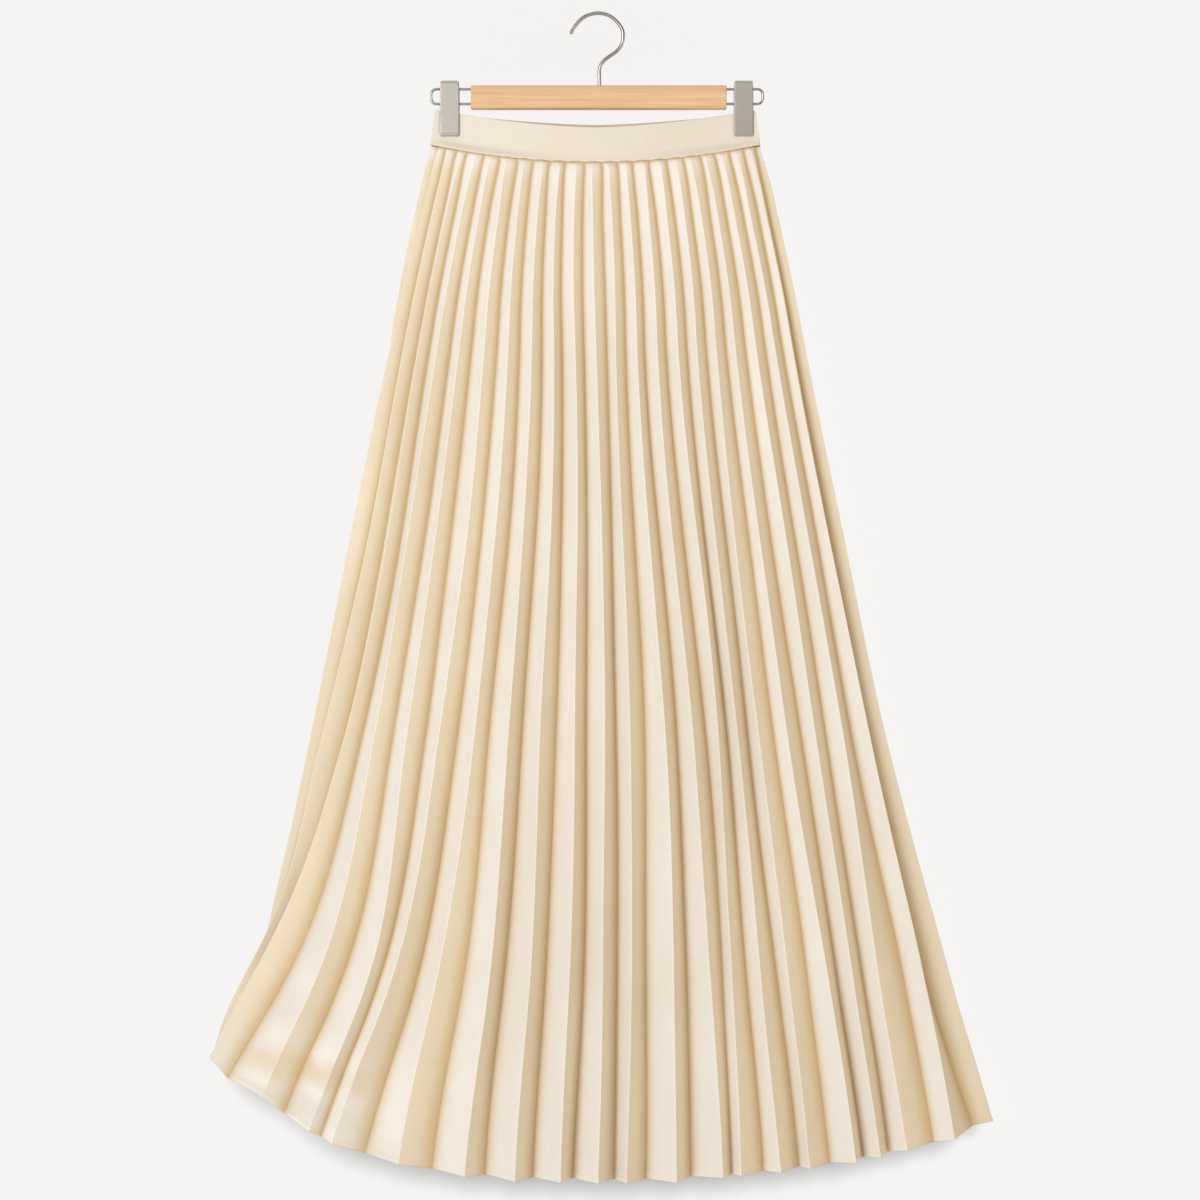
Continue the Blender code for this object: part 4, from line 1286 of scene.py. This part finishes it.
def barrel(name, place):
    """Short tube on the loop's upper wire: its rounded wall turned about the wire."""
    outline = rounded_outline(BARREL_LENGTH / 2, (BARREL_RADIUS - BARREL_BORE) / 2, BARREL_EDGE)
    turn = np.arange(BARREL_SIDES) * 2 * math.pi / BARREL_SIDES
    radius = outline[:, 1] + (BARREL_RADIUS + BARREL_BORE) / 2
    y = radius * np.cos(turn)[:, None]
    z = radius * np.sin(turn)[:, None] + LOOP_TOP
    points = np.stack([np.broadcast_to(place + outline[:, 0], y.shape), y, z], -1)
    index = np.arange(y.size).reshape(y.shape)
    ahead = np.roll(index, -1, axis=0)
    quads = np.stack([index, np.roll(index, -1, axis=1), np.roll(ahead, -1, axis=1), ahead], -1)
    quads = quads.reshape(-1, 4)
    if signed_volume(points.reshape(-1, 3), quads) < 0:
        quads = quads[:, ::-1]
    return make_piece(name, points, [quads], WIRE_STEEL)


for label, place in zip(("left", "right"), CLIP_PLACES):
    for face, side in (("front", -1), ("back", 1)):
        plate = loft(f"clip_plate_{label}_{face}", plate_rings(place, side), PLATE_STEEL)
        hand_over(plate, "brushed_steel", f"clip_{label}_{face}")
    hand_over(barrel(f"clip_barrel_tube_{label}", place), "brushed_steel", f"clip_{label}_barrel")

# %% [markdown]
# ## Camera
# The photograph looks straight at the skirt from about three metres, at half its height, with a
# long lens.

# %% Camera
SENSOR = 36.0
LENS = 90.0

camera_data = bpy.data.cameras.new("camera")
camera_data.sensor_width = SENSOR
camera_data.lens = LENS
camera = bpy.data.objects.new("camera", camera_data)
camera.location = (0.0, -SIGHT_DISTANCE * MM, -SIGHT_DROP * MM)
camera.rotation_euler = (math.pi / 2, 0.0, 0.0)
bpy.context.scene.collection.objects.link(camera)
bpy.context.scene.camera = camera
print("camera", [round(v, 3) for v in camera.location], "lens", LENS)

# %% [markdown]
# ## Sheet and floor
# A pale sheet hangs close behind the skirt and a pale floor lies under it. The sheet glows a
# little, as backlit paper does, so it stays even. Its back side is clear, so a view from behind
# looks through it.

# %% Sheet and floor
SHEET_PLACE = 118.0
SHEET_EDGES = (-700.0, 700.0, -1300.0, 100.0)
SHEET_GLOW = 0.365
SHEET_COLOUR = 0.16
FLOOR_DROP = 1420.0
FLOOR_HALF = 6000.0
FLOOR_GLOW = 0.40
FLOOR_COLOUR = 0.5


def make_paper(name, glow, colour, see_through):
    """Pale paper that glows by itself; see_through makes its back side clear."""
    mat, tree, shader = new_material(name)
    set_inputs(tree, shader, Base_Color=(colour, colour, colour, 1.0), Roughness=1.0,
               Specular_IOR_Level=0.0, Emission_Color=(1.0, 1.0, 1.0, 1.0), Emission_Strength=glow)
    if see_through:
        clear = add_node(tree, "ShaderNodeBsdfTransparent")
        behind = add_node(tree, "ShaderNodeNewGeometry").outputs["Backfacing"]
        both = add_node(tree, "ShaderNodeMixShader", i0=behind, i1=shader.outputs[0], i2=clear.outputs[0])
        tree.links.new(both.outputs[0], tree.nodes["Material Output"].inputs["Surface"])
    return mat


left, right, low, high = SHEET_EDGES
one_face = [np.array([[0, 1, 2, 3]])]
sheet_corners = [(x, SHEET_PLACE, z) for x, z in ((left, low), (right, low), (right, high), (left, high))]
sheet = make_piece("backdrop", sheet_corners, one_face,
                   make_paper("backdrop paper", SHEET_GLOW, SHEET_COLOUR, True))
floor_corners = np.array([(-1, -1, 0), (1, -1, 0), (1, 1, 0), (-1, 1, 0)]) * FLOOR_HALF
floor = make_piece("floor", floor_corners - (0, 0, FLOOR_DROP), one_face,
                   make_paper("floor paper", FLOOR_GLOW, FLOOR_COLOUR, False))

# %% [markdown]
# ## Lamps
# A large lamp stands front left, a warm one low at the right, a weak one above, and one behind for
# views of the back. None of these touches the sheet: light linking leaves it out. One soft sun
# lights the sheet alone, and only the skirt blocks it, so the shadow falls where the photograph has
# it, just below the hem.

# %% Lamps
MIDDLE = Vector((0.0, 0.0, -0.6))
WHITE = (1.0, 1.0, 1.0)
LAMPS = (
    # name, place in metres, size, power, colour, whether it stands behind the sheet
    ("key lamp", (-1.75, -3.0, 0.4), 1.7, 68.0, WHITE, False),
    ("warm lamp", (2.6, -1.6, -0.7), 1.6, 17.0, (1.0, 0.80, 0.56), False),
    ("top lamp", (0.2, -1.3, 1.9), 1.6, 5.0, WHITE, False),
    ("back lamp", (1.5, 2.6, 0.2), 1.6, 62.0, (1.0, 0.97, 0.92), True),
)
SUN_STRENGTH = 9.1
SUN_SOFTNESS = 9.0
SUN_HEIGHT = 13.5


def add_light(name, kind, power, turn, place=(0.0, 0.0, 0.0)):
    """Lamp of a kind at a place, turned by its Euler angles, and its data."""
    data = bpy.data.lights.new(name, kind)
    data.energy = power
    lamp = bpy.data.objects.new(name, data)
    lamp.location = place
    lamp.rotation_euler = turn
    bpy.context.scene.collection.objects.link(lamp)
    return lamp, data


def link_group(name, pieces, state="INCLUDE"):
    """Collection of pieces that a lamp includes or leaves out."""
    group = bpy.data.collections.new(name)
    for piece in pieces:
        group.objects.link(piece)
    for entry in group.collection_objects:
        entry.light_linking.link_state = state
    return group


for name, place, size, power, colour, behind in LAMPS:
    facing = (MIDDLE - Vector(place)).to_track_quat("-Z", "Y").to_euler()
    lamp, data = add_light(name, "AREA", power, facing, place)
    data.shape = "SQUARE"
    data.size = size
    data.color = colour
    unlit = [sheet, floor] if behind else [sheet]
    lamp.light_linking.receiver_collection = link_group(f"{name} leaves out", unlit, "EXCLUDE")
    if behind:
        lamp.light_linking.blocker_collection = link_group(f"{name} passes", [sheet], "EXCLUDE")

sun, sun_data = add_light("sheet lamp", "SUN", SUN_STRENGTH, (math.radians(90 - SUN_HEIGHT), 0.0, 0.0))
sun_data.angle = math.radians(SUN_SOFTNESS)
sun.light_linking.receiver_collection = link_group("sheet lamp lights", [sheet])
sun.light_linking.blocker_collection = link_group("sheet lamp is blocked by", [FRONT, BACK])
print("lamps", [row[0] for row in LAMPS] + [sun.name])

# %% [markdown]
# ## Room light
# The room gives the soft rest: a warm world that is brighter to the front left and above. Its
# strength is the dot product of the ray's way with one fixed way, carried to a range. The camera
# itself sees an even white.

# %% Room light
ROOM_LIGHT = 0.50
ROOM_DARK = 0.10
ROOM_WAY = (-0.50, -0.70, 0.51)
ROOM_COLOUR = (1.0, 0.93, 0.83, 1.0)
SEEN_LIGHT = 0.896

world = bpy.data.worlds.new("studio")
world.use_nodes = True
tree = world.node_tree
room = tree.nodes["Background"]
way = add_node(tree, "ShaderNodeTexCoord").outputs["Generated"]
toward = add_node(tree, "ShaderNodeVectorMath", {"operation": "DOT_PRODUCT"}, i0=way, i1=ROOM_WAY)
strength = spread(tree, toward.outputs["Value"], -1.0, 1.0, ROOM_DARK, ROOM_LIGHT)
set_inputs(tree, room, Color=ROOM_COLOUR, Strength=strength)
seen = add_node(tree, "ShaderNodeBackground", Color=(1.0, 1.0, 1.0, 1.0), Strength=SEEN_LIGHT)
straight = add_node(tree, "ShaderNodeLightPath").outputs["Is Camera Ray"]
mixed = add_node(tree, "ShaderNodeMixShader", i0=straight, i1=room.outputs[0], i2=seen.outputs[0])
tree.links.new(mixed.outputs[0], tree.nodes["World Output"].inputs["Surface"])
bpy.context.scene.world = world
bpy.context.scene.view_settings.view_transform = "Standard"
print("room light from", ROOM_DARK, "to", ROOM_LIGHT)
